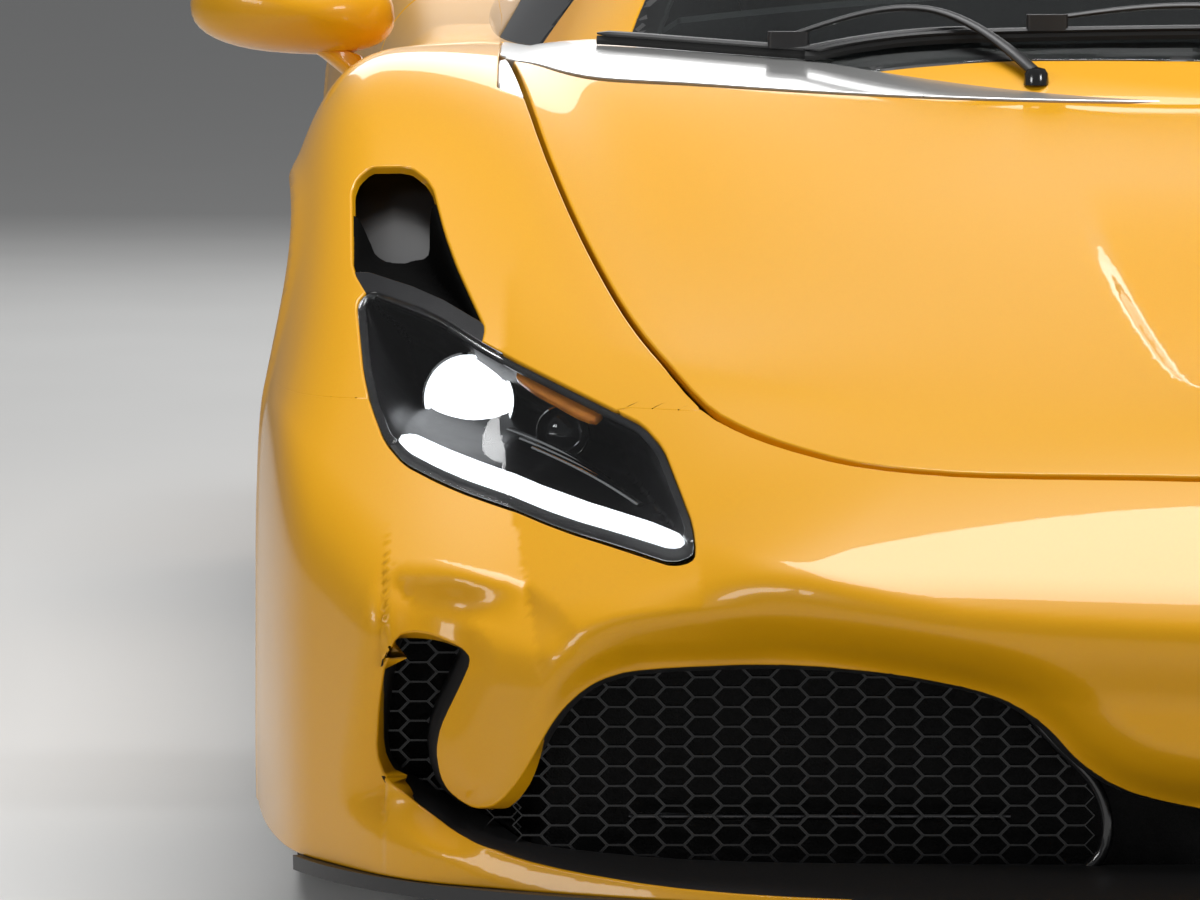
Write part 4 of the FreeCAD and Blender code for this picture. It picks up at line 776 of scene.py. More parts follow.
def swept(path, radius, sides=12, flat=1.0, up=(0, 0, 1), caps=(True, True)):
    """A bar along a path, as thick as radius says at each point, pressed flat along up."""
    path = np.asarray(path, float)
    radius = np.broadcast_to(np.asarray(radius, float), len(path))
    along = unit(np.gradient(path, axis=0))
    side = unit(np.cross(along, np.array(up, float)))
    top = np.cross(side, along)
    angle = np.linspace(0, 2 * math.pi, sides, endpoint=False)
    rings = []
    for spot, r, s, t in zip(path, radius, side, top):
        rings.append(spot + r * (np.cos(angle)[:, None] * s + flat * np.sin(angle)[:, None] * t))
    return lofted(rings, True, caps)


def curve_through(points, count):
    """Even points on a smooth line through a few given ones."""
    points = np.asarray(points, float)
    reach = np.concatenate([[0], np.cumsum(np.linalg.norm(np.diff(points, axis=0), axis=1))])
    table = spline_table(np.column_stack([reach, points]), 0.0, reach[-1], reach[-1] / (4 * count))
    return read_table(table, np.linspace(0, reach[-1], count)).T


def rounded_box(low, high, radius):
    """A box with its upright edges rounded, as two rings."""
    cx, cy = [(low[i] + high[i]) / 2 for i in (0, 1)]
    hx, hy = (high[0] - low[0]) / 2 - radius, (high[1] - low[1]) / 2 - radius
    angle = np.linspace(0, 2 * math.pi, 24, endpoint=False) + math.radians(7.5)
    x = cx + np.sign(np.cos(angle)) * hx + radius * np.cos(angle)
    y = cy + np.sign(np.sin(angle)) * hy + radius * np.sin(angle)
    return lofted([np.stack([x, y, np.full(24, z)], 1) for z in (low[2], high[2])])


def finished(mesh, name, material, body, replaces=(), bevel=0.0, sharp=35.0):
    """A mesh as a piece: faces outwards, smooth but for its sharp edges, on its body."""
    shape = bmesh.new()
    shape.from_mesh(mesh)
    bmesh.ops.remove_doubles(shape, verts=shape.verts, dist=1e-6)
    bmesh.ops.recalc_face_normals(shape, faces=shape.faces)
    shape.to_mesh(mesh)
    shape.free()
    mesh.materials.clear()
    mesh.materials.append(material)
    mesh.shade_smooth()
    mesh.set_sharp_from_angle(angle=math.radians(sharp))
    mesh.name = name
    piece = bpy.data.objects.new(name, mesh)
    bpy.context.scene.collection.objects.link(piece)
    if bevel:
        edges = piece.modifiers.new("edges", "BEVEL")
        edges.width, edges.segments, edges.limit_method = bevel, 2, "ANGLE"
        edges.angle_limit = math.radians(40)
    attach(piece, body)
    if replaces:
        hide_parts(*replaces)
    return piece


def shape_piece(name, part, material, body="root", replaces=(), bevel=0.0, sharp=35.0):
    mesh = bpy.data.meshes.new(name)
    mesh.from_pydata(np.asarray(part[0]).tolist(), [], [[int(i) for i in face] for face in part[1]])
    return finished(mesh, name, material, body, replaces, bevel, sharp)


# Geometry Nodes for what repeats
def new_tree(name, sizes):
    """An empty tree with a geometry going in and out, and named sizes."""
    tree = bpy.data.node_groups.new(name, "GeometryNodeTree")
    tree.interface.new_socket("Geometry", in_out="INPUT", socket_type="NodeSocketGeometry")
    tree.interface.new_socket("Geometry", in_out="OUTPUT", socket_type="NodeSocketGeometry")
    for size in sizes:
        tree.interface.new_socket(size, in_out="INPUT", socket_type="NodeSocketFloat")
    tree.interface.new_socket("Material", in_out="INPUT", socket_type="NodeSocketMaterial")
    return tree, tree.nodes.new("NodeGroupInput"), tree.nodes.new("NodeGroupOutput")


def end_tree(tree, start, end, instances):
    """The tree's last steps: real copies with their material."""
    real = tree.nodes.new("GeometryNodeRealizeInstances")
    coat = tree.nodes.new("GeometryNodeSetMaterial")
    tree.links.new(instances, real.inputs["Geometry"])
    tree.links.new(real.outputs["Geometry"], coat.inputs["Geometry"])
    tree.links.new(start.outputs["Material"], coat.inputs["Material"])
    tree.links.new(coat.outputs["Geometry"], end.inputs["Geometry"])


def honeycomb_tree():
    """A hexagonal wall on each point of the geometry."""
    tree, start, end = new_tree("honeycomb", ["Cell radius", "Wall", "Depth", "Flatness"])
    ring = tree.nodes.new("GeometryNodeCurvePrimitiveCircle")
    ring.inputs["Resolution"].default_value = 6
    section = tree.nodes.new("GeometryNodeCurvePrimitiveQuadrilateral")
    wall = tree.nodes.new("GeometryNodeCurveToMesh")
    turn = tree.nodes.new("GeometryNodeTransform")
    turn.inputs["Rotation"].default_value = (math.pi / 2, 0, 0)
    shrink = tree.nodes.new("ShaderNodeCombineXYZ")
    shrink.inputs["X"].default_value = shrink.inputs["Z"].default_value = 1.0
    copies = tree.nodes.new("GeometryNodeInstanceOnPoints")
    links = tree.links
    links.new(start.outputs["Cell radius"], ring.inputs["Radius"])
    links.new(start.outputs["Wall"], section.inputs["Width"])
    links.new(start.outputs["Depth"], section.inputs["Height"])
    links.new(ring.outputs["Curve"], wall.inputs["Curve"])
    links.new(section.outputs["Curve"], wall.inputs["Profile Curve"])
    links.new(wall.outputs["Mesh"], turn.inputs["Geometry"])
    links.new(start.outputs["Flatness"], shrink.inputs["Y"])
    links.new(shrink.outputs["Vector"], turn.inputs["Scale"])
    links.new(start.outputs["Geometry"], copies.inputs["Points"])
    links.new(turn.outputs["Geometry"], copies.inputs["Instance"])
    end_tree(tree, start, end, copies.outputs["Instances"])
    return tree


def ring_tree():
    """Copies of the geometry, turned evenly about the X axis."""
    tree, start, end = new_tree("ring_of_copies", ["Count"])
    seats = tree.nodes.new("GeometryNodeMeshLine")
    seats.inputs["Offset"].default_value = (0, 0, 0)
    number = tree.nodes.new("GeometryNodeInputIndex")
    share = tree.nodes.new("ShaderNodeMath")
    share.operation = "DIVIDE"
    angle = tree.nodes.new("ShaderNodeMath")
    angle.operation = "MULTIPLY"
    angle.inputs[1].default_value = 2 * math.pi
    turn = tree.nodes.new("ShaderNodeCombineXYZ")
    copies = tree.nodes.new("GeometryNodeInstanceOnPoints")
    links = tree.links
    links.new(start.outputs["Count"], seats.inputs["Count"])
    links.new(number.outputs["Index"], share.inputs[0])
    links.new(start.outputs["Count"], share.inputs[1])
    links.new(share.outputs["Value"], angle.inputs[0])
    links.new(angle.outputs["Value"], turn.inputs["X"])
    links.new(seats.outputs["Mesh"], copies.inputs["Points"])
    links.new(start.outputs["Geometry"], copies.inputs["Instance"])
    links.new(turn.outputs["Vector"], copies.inputs["Rotation"])
    end_tree(tree, start, end, copies.outputs["Instances"])
    return tree


HONEYCOMB, RING = honeycomb_tree(), ring_tree()


def from_tree(tree, part, sizes, material):
    """The plain mesh that a tree makes from a shape."""
    source = bpy.data.meshes.new("source")
    source.from_pydata(np.asarray(part[0]).tolist(), [], [[int(i) for i in face] for face in part[1]])
    holder = bpy.data.objects.new("source", source)
    bpy.context.scene.collection.objects.link(holder)
    nodes = holder.modifiers.new("nodes", "NODES")
    nodes.node_group = tree
    sizes = dict(sizes, Material=material)
    for socket in tree.interface.items_tree:
        if socket.name in sizes:
            nodes[socket.identifier] = sizes[socket.name]
    bpy.context.view_layer.update()
    ready = holder.evaluated_get(bpy.context.evaluated_depsgraph_get())
    mesh = bpy.data.meshes.new_from_object(ready)
    bpy.data.objects.remove(holder)
    return mesh


def ring_of(part, count, centre, side=1):
    """Copies of a shape about an axle, as points and faces in place."""
    mesh = from_tree(RING, part, {"Count": float(count)}, None)
    points = np.zeros(len(mesh.vertices) * 3)
    mesh.vertices.foreach_get("co", points)
    faces = [list(face.vertices) for face in mesh.polygons]
    bpy.data.meshes.remove(mesh)
    points = points.reshape(-1, 3) * (side, 1, 1) + np.array(centre)
    return points, faces if side > 0 else [face[::-1] for face in faces]


# Finishes
def finish(name, colour, roughness, metallic=0.0, coat=0.0, coat_roughness=0.03, spread=0.06, grain=60.0,
           bump=0.05, bump_scale=None, depth=0.001, transmission=0.0, ior=1.5, glow=None, sheen=0.0):
    """A finish whose colour, roughness and surface are broken up a little by noise in Object coordinates."""
    material = bpy.data.materials.new(name)
    material.use_nodes = True
    nodes, links = material.node_tree.nodes, material.node_tree.links
    shader = nodes["Principled BSDF"]
    place = nodes.new("ShaderNodeTexCoord")
    noise = nodes.new("ShaderNodeTexNoise")
    noise.inputs["Scale"].default_value = grain
    noise.inputs["Detail"].default_value = 4.0
    links.new(place.outputs["Object"], noise.inputs["Vector"])
    tones = nodes.new("ShaderNodeValToRGB")
    dark = [c * (1 - spread) for c in colour]
    light = [min(c * (1 + spread), 1.0) for c in colour]
    tones.color_ramp.elements[0].position, tones.color_ramp.elements[1].position = 0.3, 0.7
    tones.color_ramp.elements[0].color = (*dark, 1)
    tones.color_ramp.elements[1].color = (*light, 1)
    links.new(noise.outputs["Fac"], tones.inputs["Fac"])
    links.new(tones.outputs["Color"], shader.inputs["Base Color"])
    rough = nodes.new("ShaderNodeMapRange")
    rough.inputs["To Min"].default_value = roughness * 0.85
    rough.inputs["To Max"].default_value = min(roughness * 1.15, 1.0)
    links.new(noise.outputs["Fac"], rough.inputs["Value"])
    links.new(rough.outputs["Result"], shader.inputs["Roughness"])
    if bump:
        fine = nodes.new("ShaderNodeTexNoise")
        fine.inputs["Scale"].default_value = bump_scale or grain * 6
        fine.inputs["Detail"].default_value = 3.0
        links.new(place.outputs["Object"], fine.inputs["Vector"])
        relief = nodes.new("ShaderNodeBump")
        relief.inputs["Strength"].default_value = bump
        relief.inputs["Distance"].default_value = depth
        links.new(fine.outputs["Fac"], relief.inputs["Height"])
        links.new(relief.outputs["Normal"], shader.inputs["Normal"])
    shader.inputs["Metallic"].default_value = metallic
    shader.inputs["Coat Weight"].default_value = coat
    shader.inputs["Coat Roughness"].default_value = coat_roughness
    shader.inputs["Transmission Weight"].default_value = transmission
    shader.inputs["IOR"].default_value = ior
    shader.inputs["Sheen Weight"].default_value = sheen
    if glow:
        shader.inputs["Emission Color"].default_value = (*glow[0], 1)
        shader.inputs["Emission Strength"].default_value = glow[1]
    return material


def paint_finish(name, colour):
    """Deep yellow paint: fine flakes and slow tone changes under a clear coat with a little orange peel."""
    material = finish(name, colour, 0.38, coat=0.55, ior=1.33, coat_roughness=0.015, spread=0.012, grain=2.2,
                      bump=0.0)
    nodes, links = material.node_tree.nodes, material.node_tree.links
    shader, tones = nodes["Principled BSDF"], nodes["Color Ramp"]
    shader.inputs["Coat IOR"].default_value = 1.38
    place = nodes["Texture Coordinate"].outputs["Object"]
    flakes = nodes.new("ShaderNodeTexVoronoi")
    flakes.inputs["Scale"].default_value = 2600.0
    links.new(place, flakes.inputs["Vector"])
    sparkle = nodes.new("ShaderNodeMix")
    sparkle.data_type, sparkle.blend_type = "RGBA", "SOFT_LIGHT"
    sparkle.inputs["Factor"].default_value = 0.10
    links.new(tones.outputs["Color"], sparkle.inputs["A"])
    links.new(flakes.outputs["Color"], sparkle.inputs["B"])
    links.new(sparkle.outputs["Result"], shader.inputs["Base Color"])
    peel = nodes.new("ShaderNodeTexNoise")
    peel.inputs["Scale"].default_value = 260.0
    links.new(place, peel.inputs["Vector"])
    relief = nodes.new("ShaderNodeBump")
    relief.inputs["Strength"].default_value = 0.02
    relief.inputs["Distance"].default_value = 0.0004
    links.new(peel.outputs["Fac"], relief.inputs["Height"])
    links.new(relief.outputs["Normal"], shader.inputs["Coat Normal"])
    return material


YELLOW = paint_finish("yellow_paint", (0.74, 0.350, 0.003))
GLOSS_BLACK = finish("gloss_black", (0.012, 0.012, 0.013), 0.16, coat=0.6, grain=40, bump=0.0)
SATIN_BLACK = finish("satin_black_plastic", (0.020, 0.020, 0.021), 0.42, grain=400, bump=0.12,
                     bump_scale=1800, depth=0.0004)
MESH_BLACK = finish("black_mesh", (0.010, 0.010, 0.011), 0.24, grain=300, bump=0.05, bump_scale=1500,
                    depth=0.0003)
# Painted reflection: a pale silver finish for the cowl, whose real part is black plastic; the silver stands in
# for the light that the cowl reflects.
COWL_REFLECTION_SILVER = finish("cowl_painted_reflection", (0.58, 0.58, 0.57), 0.30, metallic=0.75, coat=0.5, grain=500, spread=0.04,
                bump=0.03, bump_scale=2400, depth=0.0002)
RUBBER = finish("tyre_rubber", (0.018, 0.018, 0.018), 0.72, grain=90, spread=0.2, bump=0.25, bump_scale=900,
                depth=0.0006)
SEAL = finish("seal_rubber", (0.014, 0.014, 0.014), 0.60, grain=200, bump=0.10, bump_scale=1400, depth=0.0003)
ALLOY = finish("dark_alloy", (0.10, 0.10, 0.105), 0.28, metallic=0.9, coat=0.4, grain=120, bump=0.02,
               bump_scale=900, depth=0.0002)
BRIGHT_METAL = finish("turned_metal", (0.55, 0.55, 0.56), 0.26, metallic=1.0, grain=200, spread=0.08,
                      bump=0.06, bump_scale=1200, depth=0.0002)
DISC_METAL = finish("brake_disc", (0.30, 0.29, 0.28), 0.38, metallic=1.0, grain=140, spread=0.15, bump=0.10,
                    bump_scale=700, depth=0.0003)
CALIPER_RED = finish("caliper_paint", (0.42, 0.02, 0.012), 0.32, coat=0.5, grain=150, bump=0.03,
                     bump_scale=900, depth=0.0003)
GLASS = finish("tinted_glass", (0.62, 0.67, 0.66), 0.01, transmission=1.0, ior=1.45, spread=0.01, bump=0.0)
DARK_GLASS = finish("dark_glass", (0.05, 0.055, 0.06), 0.02, transmission=0.85, ior=1.45, spread=0.02,
                    bump=0.0)
LENS_CLEAR = finish("clear_lens", (0.97, 0.98, 0.98), 0.005, transmission=1.0, ior=1.22, spread=0.005,
                    bump=0.0)
RED_LENS = finish("red_lens", (0.55, 0.010, 0.010), 0.08, transmission=0.5, ior=1.5,
                  glow=((0.6, 0.01, 0.01), 0.25), bump=0.0)
SMOKED_RED = finish("smoked_red_lens", (0.16, 0.006, 0.006), 0.06, transmission=0.4, ior=1.5, coat=0.6,
                    bump=0.0)
AMBER = finish("amber_lens", (0.85, 0.30, 0.03), 0.10, transmission=0.4, ior=1.5, bump=0.0)
LIGHT_STRIP = finish("light_strip", (0.90, 0.91, 0.93), 0.20, glow=((0.90, 0.94, 1.0), 0.9), spread=0.02,
                     bump=0.0)
LAMP_BLACK = finish("lamp_black", (0.008, 0.008, 0.009), 0.34, grain=60, ior=1.3, bump=0.0)
# Painted shade: the lamp ducts' black lining, made darker and duller than black plastic and with almost no
# reflection, stands in for the shade deep inside the duct.
DUCT_SHADE_BLACK = finish("duct_lining_painted_shade", (0.002, 0.002, 0.002), 0.90, grain=60, ior=1.12, bump=0.0)
LAMP_GLOW = finish("lamp_glow", (0.95, 0.95, 0.97), 0.05, glow=((0.93, 0.96, 1.0), 1.6), coat=0.5,
                   spread=0.01, bump=0.0)
RADIATOR = finish("radiator_fins", (0.012, 0.012, 0.012), 0.6, metallic=0.4, grain=700, spread=0.5, bump=0.6,
                  bump_scale=500, depth=0.003)
CHROME = finish("reflector", (0.86, 0.87, 0.88), 0.07, metallic=1.0, spread=0.02, bump=0.0)
LEATHER = finish("dark_leather", (0.030, 0.029, 0.028), 0.48, grain=140, spread=0.12, bump=0.35,
                 bump_scale=700, depth=0.0008, sheen=0.1)
SUEDE = finish("grey_suede", (0.075, 0.074, 0.073), 0.85, grain=180, spread=0.15, bump=0.25, bump_scale=1600,
               depth=0.0005, sheen=0.5)
CARBON = finish("carbon_tub", (0.022, 0.023, 0.025), 0.34, coat=0.4, grain=260, spread=0.25, bump=0.08,
                bump_scale=900, depth=0.0003)
CAST_METAL = finish("cast_alloy", (0.32, 0.32, 0.32), 0.46, metallic=0.85, grain=90, spread=0.12, bump=0.25,
                    bump_scale=600, depth=0.0006)

# Outer panels
STEP = 0.0125
LOWER_NET = skin_net(body_form, (-STEP * 1.5, -2.40, FLOOR_Z - 0.03), (1.07, 2.40, 1.0), STEP)
FINE_STEP = 0.0078
NOSE_NET = skin_net(lower_form, (-FINE_STEP * 1.5, -2.40, FLOOR_Z - 0.02), (1.00, FRONT_AXLE_Y + 0.02, 0.58),
                    FINE_STEP)
BONNET_NET = skin_net(lower_form, (-FINE_STEP * 1.5, -2.16, 0.42), (0.80, -0.85, 0.87), FINE_STEP)
CABIN_NET = skin_net(cabin_form, (-STEP * 1.5, -1.15, 0.755), (0.90, 1.98, 1.24), STEP)
floor_edge = behind(2, FLOOR_Z + EDGE)
NOWHERE = -0.05
OPENING = 0.003
SIDE_WINDOWS = behind(0, 0.40)
LEFT_DOOR_AND_RIGHT = {"left": "door_left", "right": "door_right"}


def cabin_inside(p):
    under_cabin = (p[:, 1] > CABIN_STATIONS[0, 0]) & (p[:, 2] > 0.70)
    return np.where(under_cabin, -cabin_form(p) - 0.006, NOWHERE)


def above_body(p):
    return -body_form(p) - 0.020


def wing_low_edge(p):
    low = np.where(p[:, 1] < FRONT_AXLE_Y, BUMPER_TOP + 0.0006, SILL_TOP + EDGE)
    return low - p[:, 2]


def outside_cowl(p):
    return np.where(p[:, 1] > FRONT_AXLE_Y, COWL_HALF_WIDTH + EDGE - p[:, 0], NOWHERE)


def behind_tail_seam(p):
    return np.where(p[:, 2] > SILL_TOP, TAIL_SEAM + SHUT_GAP / 2 - p[:, 1], NOWHERE)


def panel(name, form, net, cuts, material, kind, replaces, body="root", closed_back=False, thickness=0.024,
          depth=0.018, bodies=None, step=STEP):
    """An outer panel with the body's usual thickness and returned edge."""
    return skin_panel(name, form, net, cuts, material, body, kind, depth, closed_back, thickness, step,
                      replaces, bodies)


panel("bonnet_skin", lower_form, BONNET_NET, [grown(level, -EDGE) for level in bonnet_zone], YELLOW, "whole",
      ["bonnet"], "bonnet", True, 0.020, 0.008, step=FINE_STEP)
panel("front_bumper_skin", lower_form, NOSE_NET, [
    ahead(1, FRONT_AXLE_Y), floor_edge, grown(ahead(2, BUMPER_TOP), -0.0006), outside(bonnet_level, HOLE),
    outside(front_arch, EDGE), cut_through(lamp_level, front_face, 0.004),
    cut_through(mouth_level, front_face, 0.002)], YELLOW, "whole", ["front_bumper"], step=FINE_STEP)
panel("front_wing_skin", body_form, LOWER_NET, [
    wing_low_edge, ahead(1, 0.0), outside(bonnet_level, HOLE), outside(door_level, HOLE),
    outside(front_arch, EDGE), outside_cowl, cabin_inside,
    cut_through(lamp_level, front_face, 0.004), cut_through(duct_level, front_face, 0.004)],
    YELLOW, "sides", ["front_wing_{}"], depth=0.006)
# The cowl panel is painted pale silver, a painted reflection in place of its black plastic.
panel("cowl_skin", body_form, LOWER_NET, [
    grown(ahead(0, COWL_HALF_WIDTH), -EDGE), behind(1, FRONT_AXLE_Y), ahead(1, -0.36),
    outside(bonnet_level, HOLE), outside(door_level, HOLE), cabin_inside,
    behind(2, 0.6)], COWL_REFLECTION_SILVER, "whole", ["cowl_panel"])
panel("door_skin", body_form, LOWER_NET, [grown(level, -EDGE) for level in door_zone] + [cabin_inside],
      YELLOW, "sides", ["door_{}"], closed_back=True, thickness=0.090, depth=0.030,
      bodies=LEFT_DOOR_AND_RIGHT)
panel("rear_quarter_skin", body_form, LOWER_NET, [
    behind(1, 0.0), ahead(1, TAIL_SEAM - SHUT_GAP / 2), behind(2, SILL_TOP + EDGE),
    outside(door_level, HOLE), outside(cover_level, HOLE), outside(rear_arch, EDGE), cabin_inside,
    cut_through(side_intake_level, behind(0, 0.6), OPENING)], YELLOW, "sides", ["rear_quarter_{}"])
panel("sill_skin", body_form, LOWER_NET, [
    behind(1, FRONT_AXLE_Y), ahead(1, REAR_AXLE_Y), floor_edge, ahead(2, SILL_TOP - EDGE), behind(0, 0.5),
    outside(front_arch, EDGE), outside(rear_arch, EDGE)],
    GLOSS_BLACK, "pair", ["sills"])
TAIL_LAMPS, TAIL_LAMP_Z, TAIL_LAMP_R = (0.760, 0.570), 0.700, 0.074
EXHAUST_X, EXHAUST_Z, EXHAUST_R = 0.590, 0.372, 0.058
EXHAUST_ROOM = 0.010
tail_holes = [((x, TAIL_LAMP_Z), TAIL_LAMP_R) for x in TAIL_LAMPS]
tail_holes.append(((EXHAUST_X, EXHAUST_Z), EXHAUST_R + EXHAUST_ROOM))
tail_rounds = [cut_through(round_pin(centre, radius, FRONT), tail_face, EDGE) for centre, radius in tail_holes]
panel("rear_bumper_skin", body_form, LOWER_NET, [
    behind(1, REAR_AXLE_Y), behind_tail_seam, floor_edge, outside(rear_arch, EDGE),
    outside(cover_level, HOLE), cut_through(tail_mesh_level, tail_face, OPENING),
    cut_through(tail_low_level, tail_face, OPENING)] + tail_rounds, YELLOW, "whole", ["rear_bumper"])
panel("roof_skin", cabin_form, CABIN_NET, [
    cut_through(screen_level, ahead_of_middle, OPENING), cut_through(side_glass_level, SIDE_WINDOWS, OPENING),
    outside(cover_level, HOLE), above_body], YELLOW, "whole", ["roof_frame"])
LOUVRE_ROWS, LOUVRE_PITCH, LOUVRE_LENGTH = 5, 0.130, 0.042
LOUVRE_INNER, LOUVRE_OUTER, LOUVRE_CORNER = 0.060, 0.330, 0.014
LOUVRES = []
for row in range(LOUVRE_ROWS):
    y0 = COVER_PIVOT[0] + 0.280 + row * LOUVRE_PITCH
    y1 = y0 + LOUVRE_LENGTH
    slot = [(LOUVRE_INNER, y0), (LOUVRE_OUTER, y0), (LOUVRE_OUTER, y1), (LOUVRE_INNER, y1)]
    LOUVRES.append(outside(outline_level(nicked(slot, LOUVRE_CORNER), PLAN), EDGE))


def over_body(p):
    return -body_form(p) - 0.001


cover_cuts = [grown(level, -EDGE) for level in cover_zone]
panel("cover_skin", cabin_form, CABIN_NET, cover_cuts + [over_body] + LOUVRES,
      GLOSS_BLACK, "whole", ["engine_cover"], "engine_cover", True, 0.016, 0.008)
panel("windscreen_glass", cabin_form, CABIN_NET, [grown(screen_level, -0.002), ahead_of_middle, above_body],
      GLASS, "whole", ["windscreen"], "root", True, 0.005, 0.001)


def under_cabin_skin(by):
    """The cabin's form set back under its skin."""
    return lambda p: cabin_form(p) + by


SIDE_GLASS_DEPTH, BAND_DEPTH, SEAL_DEPTH = 0.010, 0.0058, 0.004
panel("side_glass", under_cabin_skin(SIDE_GLASS_DEPTH), CABIN_NET,
      [grown(side_glass_level, -0.001), SIDE_WINDOWS, above_body], DARK_GLASS, "sides",
      ["door_glass_{}"], closed_back=True, thickness=0.005, depth=0.001, bodies=LEFT_DOOR_AND_RIGHT)
panel("windscreen_band", under_cabin_skin(BAND_DEPTH), CABIN_NET, [
    grown(screen_level, 0.004), outside(screen_level, -0.032), ahead_of_middle, above_body], SATIN_BLACK,
    "whole", (), "root", True, 0.001, 0.0005)
panel("side_glass_seals", under_cabin_skin(SEAL_DEPTH), CABIN_NET, [
    grown(side_glass_level, 0.004), outside(side_glass_level, -0.010), SIDE_WINDOWS, above_body], SEAL,
    "pair", (), "root", True, 0.004, 0.001)

# Front intake: a black duct behind the mouth, honeycombs at its end and a radiator behind them
MAIN_GRILLE_Y, SIDE_GRILLE_Y = NOSE_Y + 0.230, NOSE_Y + 0.350
CELL, MESH_WALL, FLATNESS = 0.018, 0.0032, 0.60


def skin_y(form, x, z, low=-2.38, high=-1.30):
    """Where a form's skin stands over points of the front view."""
    near, far = np.full(len(x), low), np.full(len(x), high)
    for _ in range(22):
        middle = (near + far) / 2
        ahead_of_skin = form(np.stack([x, middle, z], 1)) > 0
        near, far = np.where(ahead_of_skin, middle, near), np.where(ahead_of_skin, far, middle)
    return (near + far) / 2


def even_points(outline, step):
    """Points at even distances along a closed outline."""
    ring = np.array(outline)
    edge = np.roll(ring, -1, 0) - ring
    length = np.hypot(edge[:, 0], edge[:, 1])
    reach = np.concatenate([[0], np.cumsum(length)])
    at = np.linspace(0, reach[-1], int(reach[-1] / step), endpoint=False)
    k = np.clip(np.searchsorted(reach, at, side="right") - 1, 0, len(ring) - 1)
    return ring[k] + edge[k] * ((at - reach[k]) / length[k])[:, None]


def inward(ring):
    """Unit ways into a closed outline that runs clockwise or not."""
    along = np.roll(ring, -1, 0) - np.roll(ring, 1, 0)
    for _ in range(3):
        along = np.roll(along, 1, 0) + 2 * along + np.roll(along, -1, 0)
    way = unit(np.stack([along[:, 1], -along[:, 0]], 1))
    area = (ring[:, 0] * np.roll(ring[:, 1], -1) - ring[:, 1] * np.roll(ring[:, 0], -1)).sum()
    return way if area < 0 else -way


def grille_y(x):
    return MAIN_GRILLE_Y + (SIDE_GRILLE_Y - MAIN_GRILLE_Y) * ramp(np.abs(x), 0.700, 0.760)


def duct_rings(outline, end_y, steps, form=lower_form, near=-2.38, far=-1.30):
    """Rings of a duct from behind the skin's edge to end_y. A step is how far in, and the share of the way."""
    ring = even_points(outline, 0.008)
    way = inward(ring)
    ahead_way = 1 if far > near else -1
    start = skin_y(form, ring[:, 0], ring[:, 1], near, far) + 0.008 * ahead_way
    end = start + ahead_way * np.maximum(ahead_way * (end_y(ring[:, 0]) - start), 0.02)
    rings = []
    for by, share in steps:
        flat = ring + way * by
        rings.append(np.stack([flat[:, 0], start * (1 - share) + end * share, flat[:, 1]], 1))
    return rings


mouth_ring = softened(both_halves(MOUTH))
mouth_duct = duct_rings(mouth_ring, grille_y, [(-0.004, 0.0), (0.001, 0.10), (0.007, 0.45), (0.010, 1.0),
                                               (-0.010, 1.02)])
shape_piece("intake_duct", lofted(mouth_duct, True, (False, False)), SATIN_BLACK)


def cells_inside(level, low, high, flatness, depth_at):
    """Centres of flat-topped honeycomb cells, in staggered columns, inside an outline of the front view."""
    row_pitch = CELL * math.sqrt(3) * flatness
    spots = []
    for column, x in enumerate(np.arange(low[0], high[0], 1.5 * CELL)):
        z = np.arange(low[1] + (column % 2) * row_pitch / 2, high[1], row_pitch)
        spots.append(np.stack([np.full(len(z), x), np.zeros(len(z)), z], 1))
    spots = np.concatenate(spots)
    spots = spots[level(spots) < CELL * 0.7]
    spots[:, 1] = depth_at(spots[:, 0])
    return spots


def honeycomb(name, spots, flatness, replaces=()):
    sizes = {"Cell radius": CELL - MESH_WALL * 0.29, "Wall": MESH_WALL / 2, "Depth": 0.010,
             "Flatness": flatness}
    mesh = from_tree(HONEYCOMB, (spots, []), sizes, MESH_BLACK)
    return finished(mesh, name, MESH_BLACK, "root", replaces)


front_cells = cells_inside(mouth_level, (-0.891, 0.10), (0.892, 0.36), FLATNESS,
                           lambda x: grille_y(x) + 0.003)
front_cells = front_cells[np.abs(front_cells[:, 0]) > 0.175]
honeycomb("front_honeycombs", front_cells, FLATNESS, ["front_grilles"])
MESH_END = [(0.300, 0.300), (0.250, 0.284), (0.205, 0.240), (0.172, 0.205), (0.160, 0.170), (0.164, 0.140),
            (0.182, 0.122), (0.230, 0.116), (0.320, 0.118)]
end_path = curve_through([(x, MAIN_GRILLE_Y - 0.003, z) for x, z in MESH_END], 40)
shape_piece("mesh_frames", both_sides(swept(end_path, 0.006, 12, 1.0, (0, 1, 0))), GLOSS_BLACK)
behind_mesh = [np.stack([x, np.full(2, grille_y(x[0]) + 0.045), np.array([0.120, 0.365])], 1)
               for x in np.repeat(np.linspace(-0.86, 0.86, 41), 2).reshape(-1, 2)]
shape_piece("radiator_face", lofted(behind_mesh, False, (False, False)), RADIATOR)
crash_bar = [(x, MAIN_GRILLE_Y + 0.014, 0.172) for x in np.linspace(0.250, 0.610, 12)]
shape_piece("radiator_bars", both_sides(swept(crash_bar, 0.0035)), ALLOY)

# Headlamps
LAMP_BOX = ((0.50, -2.20, 0.385), (0.92, -1.46, 0.76))
LAMP_STEP = 0.006


def lamp_panel(name, form, cuts, material, replaces=(), closed_back=False, thickness=0.003, depth=0.001):
    net = skin_net(form, LAMP_BOX[0], LAMP_BOX[1], LAMP_STEP)
    return skin_panel(name, form, net, cuts, material, "root", "pair", depth, closed_back, thickness,
                      LAMP_STEP, replaces)


def sunk(by, level=None, deeper=0.0, over=0.05):
    """The body's form set back under its skin, and deeper inside an outline."""
    def form(p):
        depth = by
        if level is not None:
            depth = by + deeper * ramp(-level(p), 0.0, over)
        return smooth_body(p) + depth
    return form


